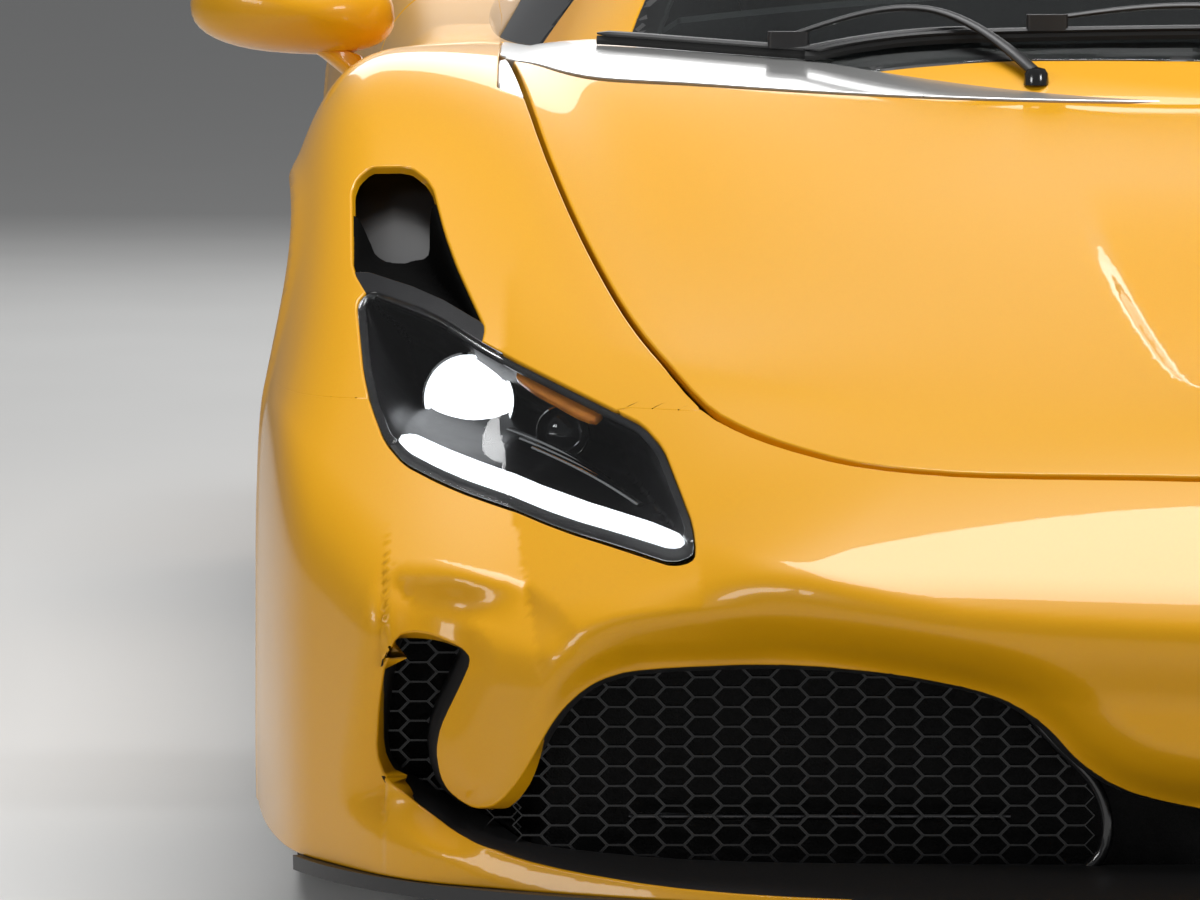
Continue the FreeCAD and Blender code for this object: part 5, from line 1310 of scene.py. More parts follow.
LAMP_STRIP = [(0.562, 0.422), (0.676, 0.445), (0.780, 0.476), (0.832, 0.499), (0.826, 0.513), (0.772, 0.493),
              (0.672, 0.462), (0.566, 0.440), (0.556, 0.430)]
LAMP_AMBER = [(0.636, 0.535), (0.718, 0.570), (0.716, 0.556), (0.640, 0.523)]
LAMP_BRIDGE = [(0.884, 0.652), (0.806, 0.632), (0.742, 0.600), (0.722, 0.572), (0.802, 0.604), (0.884, 0.628)]
strip_level = outline_level(softened(LAMP_STRIP, 1), FRONT)
amber_level = outline_level(softened(LAMP_AMBER, 1), FRONT)
bridge_level = outline_level(softened(LAMP_BRIDGE, 1), FRONT)
lamp_panel("headlamp_bowls", sunk(0.005, lamp_level, 0.088, 0.045), [grown(lamp_level, 0.001)], LAMP_BLACK,
           ["headlamps"])
lamp_panel("headlamp_covers", sunk(0.0), [grown(lamp_level, -0.001)], LENS_CLEAR, ["headlamp_lenses"], True)
lamp_panel("headlamp_borders", sunk(0.0040), [
    grown(lamp_level, -0.0005), outside(lamp_level, -0.0042), grown(outside(strip_level), -0.006)],
    GLOSS_BLACK)
lamp_panel("headlamp_strips", sunk(0.010), [strip_level], LIGHT_STRIP, (), True, 0.008, 0.004)
lamp_panel("headlamp_amber", sunk(0.012), [amber_level], AMBER, (), True, 0.005, 0.003)
lamp_panel("lamp_bridges", sunk(0.0015), [bridge_level, outside(lamp_level, 0.0015)], GLOSS_BLACK, (), True,
           0.004)
# The duct bowls are the real black lining, darkened into painted shade of the duct's depth.
lamp_panel("lamp_duct_bowls", sunk(0.004, duct_level, 0.055, 0.030), [grown(duct_level, 0.001)], DUCT_SHADE_BLACK,
           ["lamp_ducts"])


def projector(x, y, z, radius, turn):
    """A projector's barrel, bezel and bulged lens, looking ahead and a little outwards."""
    barrel = [(0.055, 0.0), (0.055, radius * 0.80), (0.0, radius), (-0.006, radius * 1.02),
              (-0.008, radius * 0.97), (-0.004, radius * 0.90), (0.004, radius * 0.88)]
    dome = [(0.003, radius * 0.89)]
    dome += [(-0.020 * math.cos(math.radians(a)) + 0.006, radius * 0.88 * math.sin(math.radians(a)))
             for a in (75, 60, 45, 30, 15, 4)]
    angle = math.radians(turn)
    parts = []
    for profile in (barrel, dome):
        points, faces = spun(profile, (0, 0, 0), 48, 1, False, axis=1)
        px, py = points[:, 0].copy(), points[:, 1].copy()
        points[:, 0] = px * math.cos(angle) - py * math.sin(angle) + x
        points[:, 1] = px * math.sin(angle) + py * math.cos(angle) + y
        points[:, 2] += z
        parts.append((points, faces))
    return parts


main_barrel, main_dome = projector(0.764, -1.668, 0.530, 0.046, 8)
small_barrel, small_dome = projector(0.672, -1.775, 0.508, 0.026, 8)
shape_piece("projector_barrels", both_sides(joined(main_barrel, small_barrel)), CHROME)
shape_piece("projector_lenses", both_sides(main_dome), LAMP_GLOW)
shape_piece("small_lenses", both_sides(small_dome), DARK_GLASS)
fins = []
for k in range(3):
    fin_path = curve_through([
        (0.598 + 0.016 * k, -1.955 + 0.035 * k, 0.455 + 0.009 * k),
        (0.640 + 0.016 * k, -1.900 + 0.035 * k, 0.476 + 0.009 * k),
        (0.700 + 0.012 * k, -1.830 + 0.030 * k, 0.498 + 0.006 * k)], 10)
    fins.append(swept(fin_path, 0.0045, 8, 0.45))
shape_piece("headlamp_fins", both_sides(joined(*fins)), CHROME)

# Mirrors
MIRROR = (0.974, -0.560, 0.856)


def oval(cx, y, cz, half_x, half_z, low_share=0.86, squareness=2.5, count=40):
    """A ring across the car, squarer than an ellipse and flatter below its middle."""
    angle = np.linspace(0, 2 * math.pi, count, endpoint=False)
    c, s = np.cos(angle), np.sin(angle)
    x = np.sign(c) * np.abs(c) ** (2 / squareness) * half_x
    z = np.sign(s) * np.abs(s) ** (2 / squareness) * half_z * np.where(s < 0, low_share, 1.0)
    return np.stack([cx + x, np.full(count, y), cz + z + 0.06 * x], 1)


def mirror_shell():
    rows = [(-0.070, 0.10), (-0.067, 0.26), (-0.058, 0.50), (-0.044, 0.72), (-0.024, 0.88), (0.000, 0.97),
            (0.020, 1.0), (0.028, 0.995), (0.031, 0.975), (0.029, 0.94), (0.018, 0.92)]
    rings = []
    for back, share in rows:
        sweep = 0.018 * (1 - share)
        rings.append(oval(MIRROR[0] - sweep, MIRROR[1] + back, MIRROR[2], 0.112 * share, 0.055 * share))
    return lofted(rings, True, (True, True))


def mirror_foot():
    rows = [((0.880, -0.548, 0.742), 0.020, 0.030), ((0.892, -0.550, 0.775), 0.024, 0.029),
            ((0.910, -0.553, 0.793), 0.033, 0.027), ((0.934, -0.556, 0.811), 0.044, 0.025),
            ((0.950, -0.558, 0.828), 0.052, 0.024)]
    angle = np.linspace(0, 2 * math.pi, 28, endpoint=False)
    rings = []
    for (x, y, z), half_x, half_y in rows:
        rings.append(np.stack([x + half_x * np.cos(angle), y + half_y * np.sin(angle),
                               z + 0.4 * half_x * np.cos(angle)], 1))
    return lofted(rings)


def mirror_glass():
    rings = [oval(MIRROR[0], MIRROR[1] + back, MIRROR[2], 0.112 * share, 0.055 * share)
             for back, share in ((0.016, 0.915), (0.0215, 0.915), (0.0225, 0.90), (0.0230, 0.45),
                                 (0.0232, 0.08))]
    return lofted(rings)


for side, turn in (("left", lambda part: part), ("right", mirrored_shape)):
    door = "door_" + side
    shape_piece("mirror_shell_" + side, turn(mirror_shell()), YELLOW, door, ["mirror_" + side], 0.0, 50)
    shape_piece("mirror_foot_" + side, turn(mirror_foot()), YELLOW, door, (), 0.0, 50)
    shape_piece("mirror_glass_" + side, turn(mirror_glass()), CHROME, door, (), 0.0, 50)


# Wipers, each an arm on a spindle, with a blade that lies along the glass
def height_of(form, x, y, low=0.60, high=1.30):
    """Where a form's upper skin stands over points of the plan."""
    x, y = np.atleast_1d(np.asarray(x, float)), np.atleast_1d(np.asarray(y, float))
    under, over = np.full(len(x), low), np.full(len(x), high)
    for _ in range(22):
        middle = (under + over) / 2
        above = form(np.stack([x, y, middle], 1)) > 0
        under, over = np.where(above, under, middle), np.where(above, middle, over)
    return (under + over) / 2


def on_glass(start, end, count, lift):
    x = np.linspace(start[0], end[0], count)
    y = np.linspace(start[1], end[1], count) - 0.010 * np.sin(np.linspace(0, math.pi, count))
    return np.stack([x, y, np.maximum(height_of(cabin_form, x, y), height_of(lower_form, x, y)) + lift], 1)


WIPER_Y = NOSE_Y + 1.300
WIPERS = [
    # spindle x, blade's heel, blade's tip
    (0.250, (0.090, -0.925), (-0.420, -0.905)),
    (-0.180, (-0.235, -0.915), (-0.640, -0.858)),
]
arms, blades, lips, caps = [], [], [], []
for spindle_x, heel, tip in WIPERS:
    foot = height_of(lower_form, spindle_x, WIPER_Y)[0]
    caps.append(moved(spun([(0.0, 0.0135), (0.012, 0.0125), (0.017, 0.009), (0.019, 0.0)], (0, 0, 0), 24, 1,
                           False, 2),
                      (spindle_x, WIPER_Y, foot + 0.004)))
    clip = on_glass(heel, tip, 9, 0.024)[4]
    knee = on_glass(heel, tip, 9, 0.034)[1]
    reach = curve_through([(spindle_x, WIPER_Y, foot + 0.016),
                           (spindle_x * 0.8 + knee[0] * 0.2, -0.975, foot + 0.034),
                           tuple(knee), tuple(clip)], 26)
    taper = np.concatenate([np.full(5, 0.0085), np.linspace(0.0085, 0.0050, 21)])
    arms.append(swept(reach, taper, 10, 0.55))
    arms.append(rounded_box((clip[0] - 0.022, clip[1] - 0.007, clip[2] - 0.012),
                            (clip[0] + 0.022, clip[1] + 0.007, clip[2] + 0.005), 0.005))
    spine = on_glass(heel, tip, 34, 0.0125)
    blades.append(swept(spine, np.concatenate([[0.0025], np.full(32, 0.0062), [0.0020]]), 8, 0.55))
    lips.append(swept(on_glass(heel, tip, 34, 0.0055), 0.0045, 6, 1.2))
shape_piece("wiper_arms", joined(*arms), SATIN_BLACK, "root", ["wipers"], 0.0, 40)
shape_piece("wiper_blades", joined(*blades), SATIN_BLACK)
shape_piece("wiper_lips", joined(*lips), SEAL)
shape_piece("wiper_caps", joined(*caps), GLOSS_BLACK)

# Wheels: each is made about its own axle, outer side towards +X of its own frame
CORNERS = [
    # name, axle y, half track, tyre radius, tyre width, disc radius, side
    ("front_left", FRONT_AXLE_Y, 0.8385, TYRE_FRONT, 0.245, 0.199, 1),
    ("front_right", FRONT_AXLE_Y, 0.8385, TYRE_FRONT, 0.245, 0.199, -1),
    ("rear_left", REAR_AXLE_Y, 0.823, TYRE_REAR, 0.305, 0.180, 1),
    ("rear_right", REAR_AXLE_Y, 0.823, TYRE_REAR, 0.305, 0.180, -1),
]
RIM_RADIUS, TREAD_DEPTH = 0.254, 0.007


def tyre_profile(half, radius):
    """Half of a tyre's outer line from the bead to the crown, as (along the axle, radius)."""
    low = RIM_RADIUS - 0.012
    return [(half - 0.030, low), (half - 0.019, low + 0.004), (half - 0.014, low + 0.013),
            (half - 0.012, low + 0.016), (half - 0.0085, low + 0.022), (half - 0.0075, low + 0.032),
            (half - 0.0065, low + 0.040), (half - 0.0072, low + 0.043), (half - 0.0072, low + 0.046),
            (half - 0.0062, low + 0.049), (half - 0.0085, radius - 0.026), (half - 0.0110, radius - 0.020),
            (half - 0.0125, radius - 0.016)]


def tread_block(x0, x1, count, radius, half, share, slant, rows=3):
    """One tread block: a curved pad with chamfered edges, from x0 to x1 along the axle."""
    pitch = 2 * math.pi / count
    ends = pitch * share / 2
    base, top = [], []
    chamfer = 0.0015
    for k in range(rows + 1):
        t = k / rows
        x = x0 + (x1 - x0) * t
        lean = slant * (t - 0.5) * pitch
        crown = radius - 0.010 * (abs(x) / half) ** 4
        edge = chamfer if 0 < k < rows else chamfer * 1.5
        inner_x = min(max(x, x0 + chamfer), x1 - chamfer)
        for ring, at_x, r, a in ((base, x, crown - TREAD_DEPTH - 0.001, ends),
                                 (top, inner_x, crown, ends - edge / radius)):
            ring.append([(at_x, r * math.sin(lean + s * a), r * math.cos(lean + s * a)) for s in (-1, 1)])
    points = [p for pair in base for p in pair] + [p for pair in top for p in pair]
    n = 2 * (rows + 1)
    faces = []
    for k in range(rows):
        a = 2 * k
        faces.append([n + a, n + a + 2, n + a + 3, n + a + 1])
        faces.append([a, a + 2, n + a + 2, n + a])
        faces.append([a + 3, a + 1, n + a + 1, n + a + 3])
    faces.append([0, n, n + 1, 1])
    faces.append([n - 1, 2 * n - 1, 2 * n - 2, n - 2])
    return points, faces


def tyre(width, radius, centre, side):
    half = width / 2 - 0.002
    outer = tyre_profile(half, radius)
    tread = half - 0.0125
    crown = [(tread * t, radius - TREAD_DEPTH - 0.010 * t ** 4 - 0.003 * abs(t))
             for t in (0.9, 0.7, 0.45, 0.2)]
    line = outer + crown
    line = line + [(-x, r) for x, r in reversed(line)]
    parts = [spun(line, centre, 128, side)]
    edges = [0.0, 0.115, 0.135, 0.52, 0.56, 1.02]
    ribs = [(-edges[1], edges[1], 80, 0.97, 0.0)]
    for sign in (-1, 1):
        ribs.append(tuple(sorted((sign * edges[2], sign * edges[3]))) + (72, 0.90, 0.9 * sign))
        ribs.append(tuple(sorted((sign * edges[4], sign * edges[5]))) + (72, 0.86, 0.35 * sign))
    for x0, x1, count, share, slant in ribs:
        block = tread_block(x0 * tread, x1 * tread, count, radius, tread, share, slant)
        parts.append(ring_of(block, count, centre, side))
    return joined(*parts)


def rim_barrel(half):
    """The rim's flange, bead seat and well, outside and in."""
    bead, well = RIM_RADIUS - 0.014, RIM_RADIUS - 0.026
    return [(half, RIM_RADIUS - 0.002), (half - 0.002, RIM_RADIUS), (half - 0.006, RIM_RADIUS - 0.001),
            (half - 0.009, bead), (half - 0.030, bead - 0.001), (0.030, well + 0.002),
            (-half + 0.030, bead - 0.001), (-half + 0.009, bead), (-half + 0.005, RIM_RADIUS),
            (-half, RIM_RADIUS - 0.003), (-half + 0.004, well), (-half + 0.050, well - 0.006),
            (half - 0.060, well - 0.006), (half - 0.028, well + 0.001), (half - 0.010, well + 0.007),
            (half - 0.003, RIM_RADIUS - 0.010)]


def spoke(half, lean):
    """A bevelled spoke that rises from the hub, leans to one side and meets the rim's lip."""
    outer_r = RIM_RADIUS - 0.016
    rings = []
    for t in np.linspace(0, 1, 9):
        r = 0.050 + (outer_r - 0.050) * t
        face_x = 0.060 + (half - 0.016 - 0.060) * t ** 1.5 - 0.010 * math.sin(math.pi * t)
        width = 0.0185 - 0.0085 * t + 0.006 * max(t - 0.85, 0) / 0.15
        depth = 0.034 - 0.012 * t
        off = lean * (0.006 + 0.050 * t ** 1.1)
        bevel = 0.004
        section = [(face_x, -width + bevel), (face_x + 0.0015, 0.0), (face_x, width - bevel),
                   (face_x - bevel, width), (face_x - depth, width * 0.62), (face_x - depth - 0.003, 0.0),
                   (face_x - depth, -width * 0.62), (face_x - bevel, -width)]
        rings.append([(x, off + y, r) for x, y in section])
    return lofted(rings)


def wheel_hub():
    centre = [(0.030, 0.0), (0.030, 0.066), (0.052, 0.070), (0.059, 0.066), (0.060, 0.045), (0.056, 0.041),
              (0.056, 0.036), (0.062, 0.033), (0.064, 0.026), (0.0645, 0.0)]
    return spun(centre, (0, 0, 0), 64, 1, False)


def bolt():
    """A wheel bolt with a shallow round socket, standing in its seat."""
    head = spun([(0.050, 0.0095), (0.062, 0.0085), (0.0635, 0.0075), (0.0635, 0.0052), (0.060, 0.0050),
                 (0.060, 0.0)],
                (0, 0, 0), 12, 1, False)
    return moved(head, (0, 0, 0.054))


def wheel_pieces(name, axle_y, half_track, radius, width, disc_radius, side):
    centre = (side * half_track, axle_y, radius)
    body = "wheel_" + name
    half = width / 2 - 0.011
    shape_piece("road_tyre_" + name, tyre(width, radius, centre, side), RUBBER, body, ["tyre_" + name], 0.0,
                28)
    spokes = joined(spoke(half, 1), spoke(half, -1))
    rim = joined(spun(rim_barrel(half), centre, 128, side), ring_of(spokes, 5, centre, side),
                 (wheel_hub()[0] * (side, 1, 1) + np.array(centre), wheel_hub()[1]))
    shape_piece("wheel_rim_" + name, rim, ALLOY, body, ["rim_" + name], 0.0, 30)
    shape_piece("wheel_bolts_" + name, ring_of(bolt(), 5, centre, side), BRIGHT_METAL, body)
    # Painted shade: the discs' drilled holes are not cut; small black dots stand where the holes would show
    # dark.
    hole_shade_dots = [spun([(-0.0105, 0.0), (-0.0105, 0.0038), (-0.0098, 0.0042)], (0, 0, 0), 10, 1, False)]
    rows = [moved(hole_shade_dots[0], (0, math.sin(a) * r, math.cos(a) * r))
            for r, a in ((disc_radius - 0.018, 0.0), (disc_radius - 0.036, 0.10),
                         (disc_radius - 0.054, 0.20))]
    shade_dots = ring_of(joined(*rows), 20, centre, side)
    shape_piece("disc_holes_" + name, shade_dots, SATIN_BLACK, body)


for corner in CORNERS:
    wheel_pieces(*corner)


def caliper(disc_radius, centre, side, way):
    """A caliper's bridge over the disc: an arc with bevelled ends, on the way side of the axle."""
    rings = []
    for a in np.linspace(-30, 30, 13):
        grip = 1.0 if abs(a) < 28 else 0.88
        angle = math.radians(a)
        inner, outer = disc_radius - 0.058 * grip, disc_radius + 0.0195
        section = [(-0.060, inner), (-0.062, outer - 0.006), (-0.056, outer), (0.004, outer),
                   (0.0100, outer - 0.006), (0.0105, inner + 0.006), (0.006, inner), (-0.006, inner),
                   (-0.006, disc_radius + 0.008), (-0.048, disc_radius + 0.008), (-0.048, inner)]
        rings.append([(side * x + centre[0], way * r * math.cos(angle) + centre[1],
                       r * math.sin(angle) + centre[2])
                      for x, r in section])
    return lofted(rings)


for name, axle_y, half_track, radius, width, disc_radius, side in CORNERS:
    body = "knuckle_" + name[6:] if name.startswith("front") else "root"
    centre = (side * half_track, axle_y, radius)
    shape_piece("caliper_" + name, caliper(disc_radius, centre, side, 1), CALIPER_RED, body, (), 0.0015, 30)

# Tail: mesh and its duct, lamps, exhaust tips, valance
REAR_GRILLE_Y = TAIL_Y - 0.120
TAIL_MESH_RING = [(x, z) for x, z in TAIL_MESH if x > 0]
tail_outline = softened(TAIL_MESH_RING + [(-x, z) for x, z in reversed(TAIL_MESH_RING)])


def tail_grille_y(x):
    return REAR_GRILLE_Y


def tail_end(x):
    return np.full(len(x), tail_grille_y(x) + 0.004)


# The tail's skin is looked for from behind it towards the front
TAIL_SEARCH = (2.40, 1.90)
TAIL_DUCT_STEPS = [(-0.004, 0.0), (0.002, 0.15), (0.008, 1.0), (-0.010, 1.02)]
tail_duct = duct_rings(tail_outline, tail_end, TAIL_DUCT_STEPS, body_form, *TAIL_SEARCH)
shape_piece("tail_duct", lofted(tail_duct, True, (False, False)), SATIN_BLACK)
tail_full_level = outline_level(tail_outline, FRONT)
tail_cells = cells_inside(tail_full_level, (-0.513, 0.500), (0.514, 0.660), FLATNESS, tail_grille_y)
honeycomb("tail_honeycomb", tail_cells, FLATNESS, ["rear_grille"])
TAIL_LOW_EDGE = [(-0.440, 0.114), (-0.440, 0.150), (-0.480, 0.300), (0.480, 0.300), (0.440, 0.150),
                 (0.440, 0.114)]
VALANCE_POINTS = 24
VALANCE_DEPTHS = (0.006, 0.060, 0.150, 0.240)
low_sides = zip(TAIL_LOW_EDGE, TAIL_LOW_EDGE[1:])
edge_points = np.concatenate([np.linspace(a, b, VALANCE_POINTS, endpoint=False) for a, b in low_sides])
edge_y = skin_y(body_form, edge_points[:, 0], edge_points[:, 1], *TAIL_SEARCH)
valance = [np.stack([edge_points[:, 0], edge_y - back, edge_points[:, 1]], 1) for back in VALANCE_DEPTHS]
shape_piece("tail_valance", lofted(valance, False, (False, False)), SATIN_BLACK)

LAMP_FACE_Y = TAIL_Y - 0.045


def tail_round(profile, x, z, y=LAMP_FACE_Y, closed=False):
    """A round piece that faces backwards."""
    return spun(profile, (x, y, z), 64, 1, closed, axis=1)


# Profiles of a tail lamp, as (out from its face, radius)
LAMP_BODY = [(-0.060, 0.0730), (-0.002, 0.0735), (0.001, 0.0725), (0.001, 0.0700), (-0.003, 0.0690),
             (-0.006, 0.0680), (-0.008, 0.0470), (0.000, 0.0455), (0.001, 0.0440), (0.000, 0.0425),
             (-0.010, 0.0400), (-0.016, 0.0)]
LAMP_RING = [(-0.005, 0.0675), (-0.001, 0.0670), (0.0015, 0.0630), (0.0020, 0.0575),
             (0.0015, 0.0520), (-0.001, 0.0480), (-0.005, 0.0475)]
LAMP_CENTRE = [(-0.013, 0.0390), (-0.007, 0.0380), (-0.002, 0.0300), (0.0005, 0.0160), (0.0010, 0.0)]
lamp_bodies = [tail_round(LAMP_BODY, x, TAIL_LAMP_Z) for x in TAIL_LAMPS]
lamp_rings = [tail_round(LAMP_RING, x, TAIL_LAMP_Z, closed=True) for x in TAIL_LAMPS]
lamp_centres = [tail_round(LAMP_CENTRE, x, TAIL_LAMP_Z) for x in TAIL_LAMPS]
shape_piece("tail_lamp_bodies", both_sides(joined(*lamp_bodies)), GLOSS_BLACK, "root", ["tail_lamps"])
shape_piece("tail_lamp_rings", both_sides(joined(*lamp_rings)), RED_LENS)
shape_piece("tail_lamp_centres", both_sides(joined(*lamp_centres)), SMOKED_RED)
tip = [(-0.120, EXHAUST_R + 0.0010), (-0.006, EXHAUST_R + 0.0010), (-0.001, EXHAUST_R + 0.0005),
       (0.0015, EXHAUST_R - 0.003), (-0.001, EXHAUST_R - 0.0065), (-0.010, EXHAUST_R - 0.0075),
       (-0.120, EXHAUST_R - 0.0080)]
shape_piece("exhaust_tips", both_sides(tail_round(tip, EXHAUST_X, EXHAUST_Z, TAIL_Y - 0.028, True)),
            BRIGHT_METAL)
collar = [(-0.004, EXHAUST_R + 0.0105), (0.002, EXHAUST_R + 0.0100), (0.002, EXHAUST_R + 0.0060),
          (-0.060, EXHAUST_R + 0.0050), (-0.060, EXHAUST_R + 0.0105)]
collar_y = skin_y(body_form, np.array([EXHAUST_X]), np.array([EXHAUST_Z]), *TAIL_SEARCH)[0]
shape_piece("exhaust_collars", both_sides(tail_round(collar, EXHAUST_X, EXHAUST_Z, collar_y - 0.016, True)),
            SATIN_BLACK)

# Side intakes: a black bowl behind the door's scallop, with two upright blades
INTAKE_STEP = 0.007


def intake_bowl_form(p):
    """The body's form, sunk into a bowl inside the side intake."""
    return body_form(p) + 0.004 + 0.085 * ramp(-side_intake_level(p), 0.0, 0.045)


intake_net = skin_net(intake_bowl_form, (0.70, 0.50, 0.42), (1.02, 0.82, 0.76), INTAKE_STEP)
skin_panel("side_intake_bowls", intake_bowl_form, intake_net,
           [grown(side_intake_level, 0.001), behind(0, 0.75)],
           SATIN_BLACK, "root", "pair", 0.001, False, 0.003, INTAKE_STEP)


def side_x(y, z):
    """Where the body's side stands over points of the side view."""
    near, far = np.full(len(y), 1.05), np.full(len(y), 0.60)
    for _ in range(22):
        middle = (near + far) / 2
        out = body_form(np.stack([middle, y, z], 1)) > 0
        near, far = np.where(out, middle, near), np.where(out, far, middle)
    return (near + far) / 2


VANE_POINTS = 14
VANES = [(0.600, 0.622, 0.486, 0.690), (0.648, 0.676, 0.500, 0.684)]      # y and z at foot and head
vanes = []
for y_low, y_high, z_low, z_high in VANES:
    z = np.linspace(z_low, z_high, VANE_POINTS)
    y = np.linspace(y_low, y_high, VANE_POINTS)
    vanes.append(swept(np.stack([side_x(y, z) - 0.026, y, z], 1), 0.012, 10, 0.30, (0, 1, 0)))
shape_piece("side_intake_vanes", both_sides(joined(*vanes)), GLOSS_BLACK)

# Door handles: slim bars that stand a little proud of the door
HANDLE_FRONT, HANDLE_REAR, HANDLE_Z, HANDLE_POINTS = 0.150, 0.300, 0.652, 16


def door_handle():
    y = np.linspace(HANDLE_FRONT, HANDLE_REAR, HANDLE_POINTS)
    z = HANDLE_Z + 0.10 * (y - HANDLE_FRONT)
    swell = np.sin(np.linspace(0, math.pi, HANDLE_POINTS))
    lift = 0.002 + 0.008 * swell ** 0.5
    thick = 0.004 + 0.007 * swell ** 0.4
    return swept(np.stack([side_x(y, z) + lift - 0.003, y, z], 1), thick, 14, 0.55, (1, 0, 0))


shape_piece("door_handle_left", door_handle(), YELLOW, "door_left")
shape_piece("door_handle_right", mirrored_shape(door_handle()), YELLOW, "door_right")

# Wheel-arch liners, each kept under the body's skin
LINER_POINTS = 60
LINERS = [(FRONT_AXLE_Y, TYRE_FRONT, 0.416, 0.560, 0.895), (REAR_AXLE_Y, TYRE_REAR, 0.402, 0.560, 0.915)]


def arch_liner(wheel_y, wheel_z, radius, inner, outer):
    angle = np.radians(np.linspace(-28, 208, LINER_POINTS))
    rims = [(inner - 0.02, radius - 0.06), (inner, radius), (outer - 0.05, radius), (outer, radius - 0.020)]
    rings = []
    for x, r in rims:
        y = wheel_y + r * np.cos(angle)
        top = height_of(body_form, np.full(LINER_POINTS, min(x, 0.87)), y, 0.30) - 0.014
        z = np.clip(wheel_z + r * np.sin(angle), FLOOR_Z + 0.004, top)
        rings.append(np.stack([np.full(LINER_POINTS, x), y, z], 1))
    return lofted(rings, False, (False, False))


liners = [arch_liner(*sizes) for sizes in LINERS]
shape_piece("arch_liners", both_sides(joined(*liners)), SATIN_BLACK)

# Finishes of the CAD nodes that stay as they are
DRESS = {
    CARBON: ["chassis_tub"],
    BRIGHT_METAL: ["hinge_pins", "exhaust_pipes"],
    CAST_METAL: ["suspension_front", "suspension_rear", "engine", "knuckle_front_left",
                 "knuckle_front_right"],
    DISC_METAL: ["hub_disc_" + corner[0] for corner in CORNERS],
    SATIN_BLACK: ["rear_diffuser", "front_splitter"],
    DARK_GLASS: ["rear_window"],
    SUEDE: ["dashboard"],
    LEATHER: ["steering_wheel"],
}
for material, names in DRESS.items():
    for name in names:
        for slot in NODES[name].material_slots:
            slot.material = material

# Seats: a hard shell with padded cushion, back, bolsters and headrest
SEAT_X = 0.370
SHELL_HALF_WIDTH = 0.205
SHELL_SIDE = [(-0.326, 0.134), (-0.334, 0.205), (-0.020, 0.192), (0.090, 0.185), (0.150, 0.235),
              (0.292, 0.800), (0.322, 0.960), (0.345, 0.992), (0.366, 0.955), (0.326, 0.700),
              (0.246, 0.300), (0.226, 0.134)]


def slab(outline, x_low, x_high):
    """A flat piece with one side outline, drawn in the side view and laid between two x values."""
    ring = np.array(outline)
    rings = [np.stack([np.full(len(ring), x), ring[:, 0], ring[:, 1]], 1) for x in (x_low, x_high)]
    return lofted(rings, True, (True, True))


shell = slab(softened(SHELL_SIDE, 2), SEAT_X - SHELL_HALF_WIDTH, SEAT_X + SHELL_HALF_WIDTH)
shape_piece("seat_shells", both_sides(shell), CARBON, "root", ["seats"], bevel=0.006)


def pad_form(start, end, x, half_width, half_thick, pinch=0.10):
    """A closed pad along a line of the side view, with its sides pulled in towards its ends."""
    start, end = np.array(start), np.array(end)
    along = (end - start) / np.linalg.norm(end - start)
    across = np.array([-along[1], along[0]])
    turn = np.linspace(0, 2 * math.pi, 40, endpoint=False)
    square_u = np.sign(np.cos(turn)) * np.abs(np.cos(turn)) ** 0.45
    square_w = np.sign(np.sin(turn)) * np.abs(np.sin(turn)) ** 0.60
    rings = []
    for t in np.linspace(0.0, 1.0, 15):
        edge = abs(2 * t - 1)
        full = (1 - edge ** 8) ** 0.5 if edge < 1 else 0.12
        wide = half_width * (1 - pinch * edge ** 2) * (0.86 + 0.14 * full)
        middle = start + (end - start) * t
        flat = middle[None] + across[None] * (half_thick * max(full, 0.12) * square_w)[:, None]
        rings.append(np.stack([x + wide * square_u, flat[:, 0], flat[:, 1]], 1))
    return lofted(rings, True, (True, True))


# Each pad: start and end in the side view, shift from the seat's middle, half width and half thickness
PADS = {
    "seat_cushions": ((-0.318, 0.256), (0.070, 0.232), 0.000, 0.128, 0.030),
    "seat_thigh_bolsters_inner": ((-0.300, 0.262), (0.060, 0.244), -0.178, 0.030, 0.034),
    "seat_thigh_bolsters_outer": ((-0.300, 0.262), (0.060, 0.244), 0.178, 0.030, 0.034),
    "seat_backs": ((0.140, 0.330), (0.248, 0.740), 0.000, 0.128, 0.026),
    "seat_back_bolsters_inner": ((0.120, 0.350), (0.222, 0.720), -0.178, 0.028, 0.036),
    "seat_back_bolsters_outer": ((0.120, 0.350), (0.222, 0.720), 0.178, 0.028, 0.036),
    "seat_headrests": ((0.268, 0.800), (0.300, 0.930), 0.000, 0.110, 0.026),
}
PAD_CAP, PAD_VOXEL, PAD_FRAMES = 0.006, 0.006, 20


def puffed(name, part):
    """Blow a pad up a little as cloth, with each point's way cut off at the cap.

    On the cushions and the backs every point reaches the cap. The bolsters and headrests settle by themselves.
    """
    source = new_piece(name + "_start", part[0], part[1], [], "", smooth=False)
    scene = bpy.context.scene
    remesh = source.modifiers.new("Even", "REMESH")
    remesh.mode, remesh.voxel_size = "VOXEL", PAD_VOXEL
    cloth = source.modifiers.new("Cloth", "CLOTH")
    cloth.settings.use_pressure, cloth.settings.uniform_pressure_force = True, 4.0
    cloth.settings.effector_weights.gravity = 0.0
    cloth.point_cache.frame_end = PAD_FRAMES
    cloth.show_viewport = False
    start = evaluated_points(source)[0]
    cloth.show_viewport = True
    for frame in range(1, PAD_FRAMES + 1):
        scene.frame_set(frame)
    points, faces = evaluated_points(source)
    scene.frame_set(1)
    bpy.data.objects.remove(source)
    step = points - start
    far = np.linalg.norm(step, axis=1, keepdims=True)
    return start + step * np.minimum(1, PAD_CAP / np.maximum(far, 1e-9)), faces


def evaluated_points(source):
    """Points and faces of a piece with its modifiers worked out."""
    mesh = source.evaluated_get(bpy.context.evaluated_depsgraph_get()).to_mesh()
    points = np.array([list(v.co) for v in mesh.vertices])
    return points, [list(face.vertices) for face in mesh.polygons]


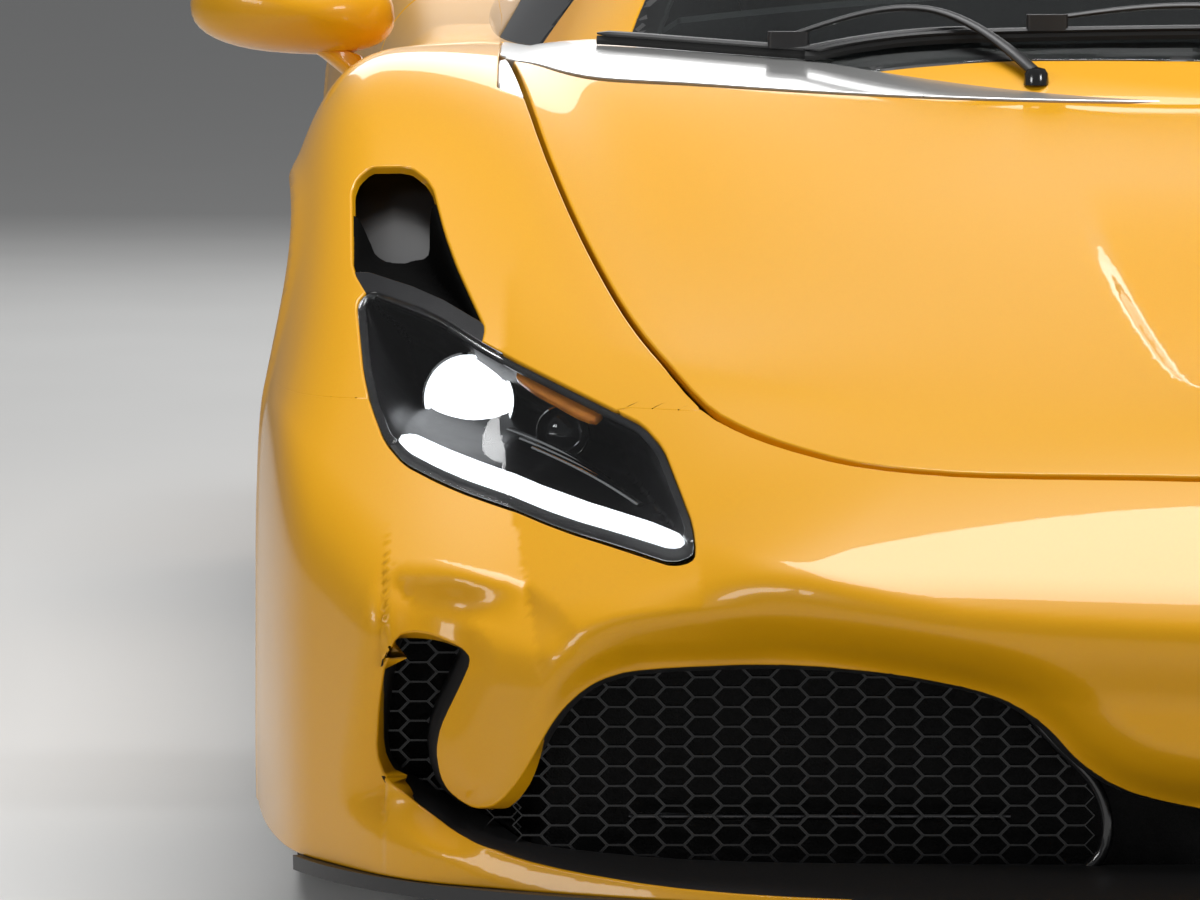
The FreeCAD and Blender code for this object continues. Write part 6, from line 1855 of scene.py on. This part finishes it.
for name, (start, end, shift, half_width, half_thick) in PADS.items():
    part = pad_form(start, end, SEAT_X + shift, half_width, half_thick)
    part = puffed(name, part)
    pad = shape_piece(name, both_sides(part), SUEDE if "bolsters" not in name else LEATHER)
    smoother = pad.modifiers.new("Smooth", "SUBSURF")
    smoother.levels = smoother.render_levels = 1

# Camera, light and floor
scene = bpy.context.scene
camera = bpy.data.objects.new("camera", bpy.data.cameras.new("camera"))
scene.collection.objects.link(camera)
LENS_MM, SENSOR_MM = 283.2, 36.0
CAMERA_FROM_NOSE, CAMERA_HEIGHT, CAMERA_SIDE, CAMERA_TILT = 8.580, 1.370, -0.637, 5.51
camera.data.lens, camera.data.sensor_width = LENS_MM, SENSOR_MM
camera.location = (CAMERA_SIDE, NOSE_Y - CAMERA_FROM_NOSE, CAMERA_HEIGHT)
camera.rotation_euler = (math.radians(90 - CAMERA_TILT), 0, 0)
camera.data.clip_end = 200
scene.camera = camera
scene.view_settings.view_transform = "Standard"


def area_light(name, place, target, size, watts, colour=(1, 1, 1)):
    lamp = bpy.data.lights.new(name, "AREA")
    lamp.shape = "RECTANGLE"
    lamp.size, lamp.size_y = size
    lamp.energy = watts
    lamp.color = colour
    holder = bpy.data.objects.new(name, lamp)
    scene.collection.objects.link(holder)
    holder.location = place
    holder.rotation_euler = (Vector(target) - Vector(place)).to_track_quat("-Z", "Y").to_euler()


area_light("overhead", (0, -1.0, 5.5), (0, -1.0, 0), (3.4, 2.6), 290)
area_light("front_left", (5.0, -6.5, 4.2), (0, -1.0, 0.5), (2.0, 1.4), 140)
area_light("front_right", (-5.5, -5.5, 3.2), (0, -1.2, 0.5), (2.0, 1.4), 95)
area_light("behind", (0, 6.5, 3.5), (0, 1.0, 0.6), (5.0, 2.5), 130)
world = bpy.data.worlds.new("studio")
scene.world = world
world.use_nodes = True
sky = world.node_tree.nodes["Background"]
sky.inputs["Color"].default_value = (0.90, 0.91, 0.93, 1)
sky.inputs["Strength"].default_value = 0.20

FLOOR_HALF = 30
floor_corners = [(-FLOOR_HALF, -FLOOR_HALF, 0), (FLOOR_HALF, -FLOOR_HALF, 0),
                 (FLOOR_HALF, FLOOR_HALF, 0), (-FLOOR_HALF, FLOOR_HALF, 0)]
floor_mesh = bpy.data.meshes.new("studio_floor")
floor_mesh.from_pydata(floor_corners, [], [(0, 1, 2, 3)])
floor_mesh.materials.append(finish("pale_floor", (0.66, 0.66, 0.65), 0.65, grain=3, spread=0.01, bump=0.0))
studio_floor = bpy.data.objects.new("studio_floor", floor_mesh)
scene.collection.objects.link(studio_floor)
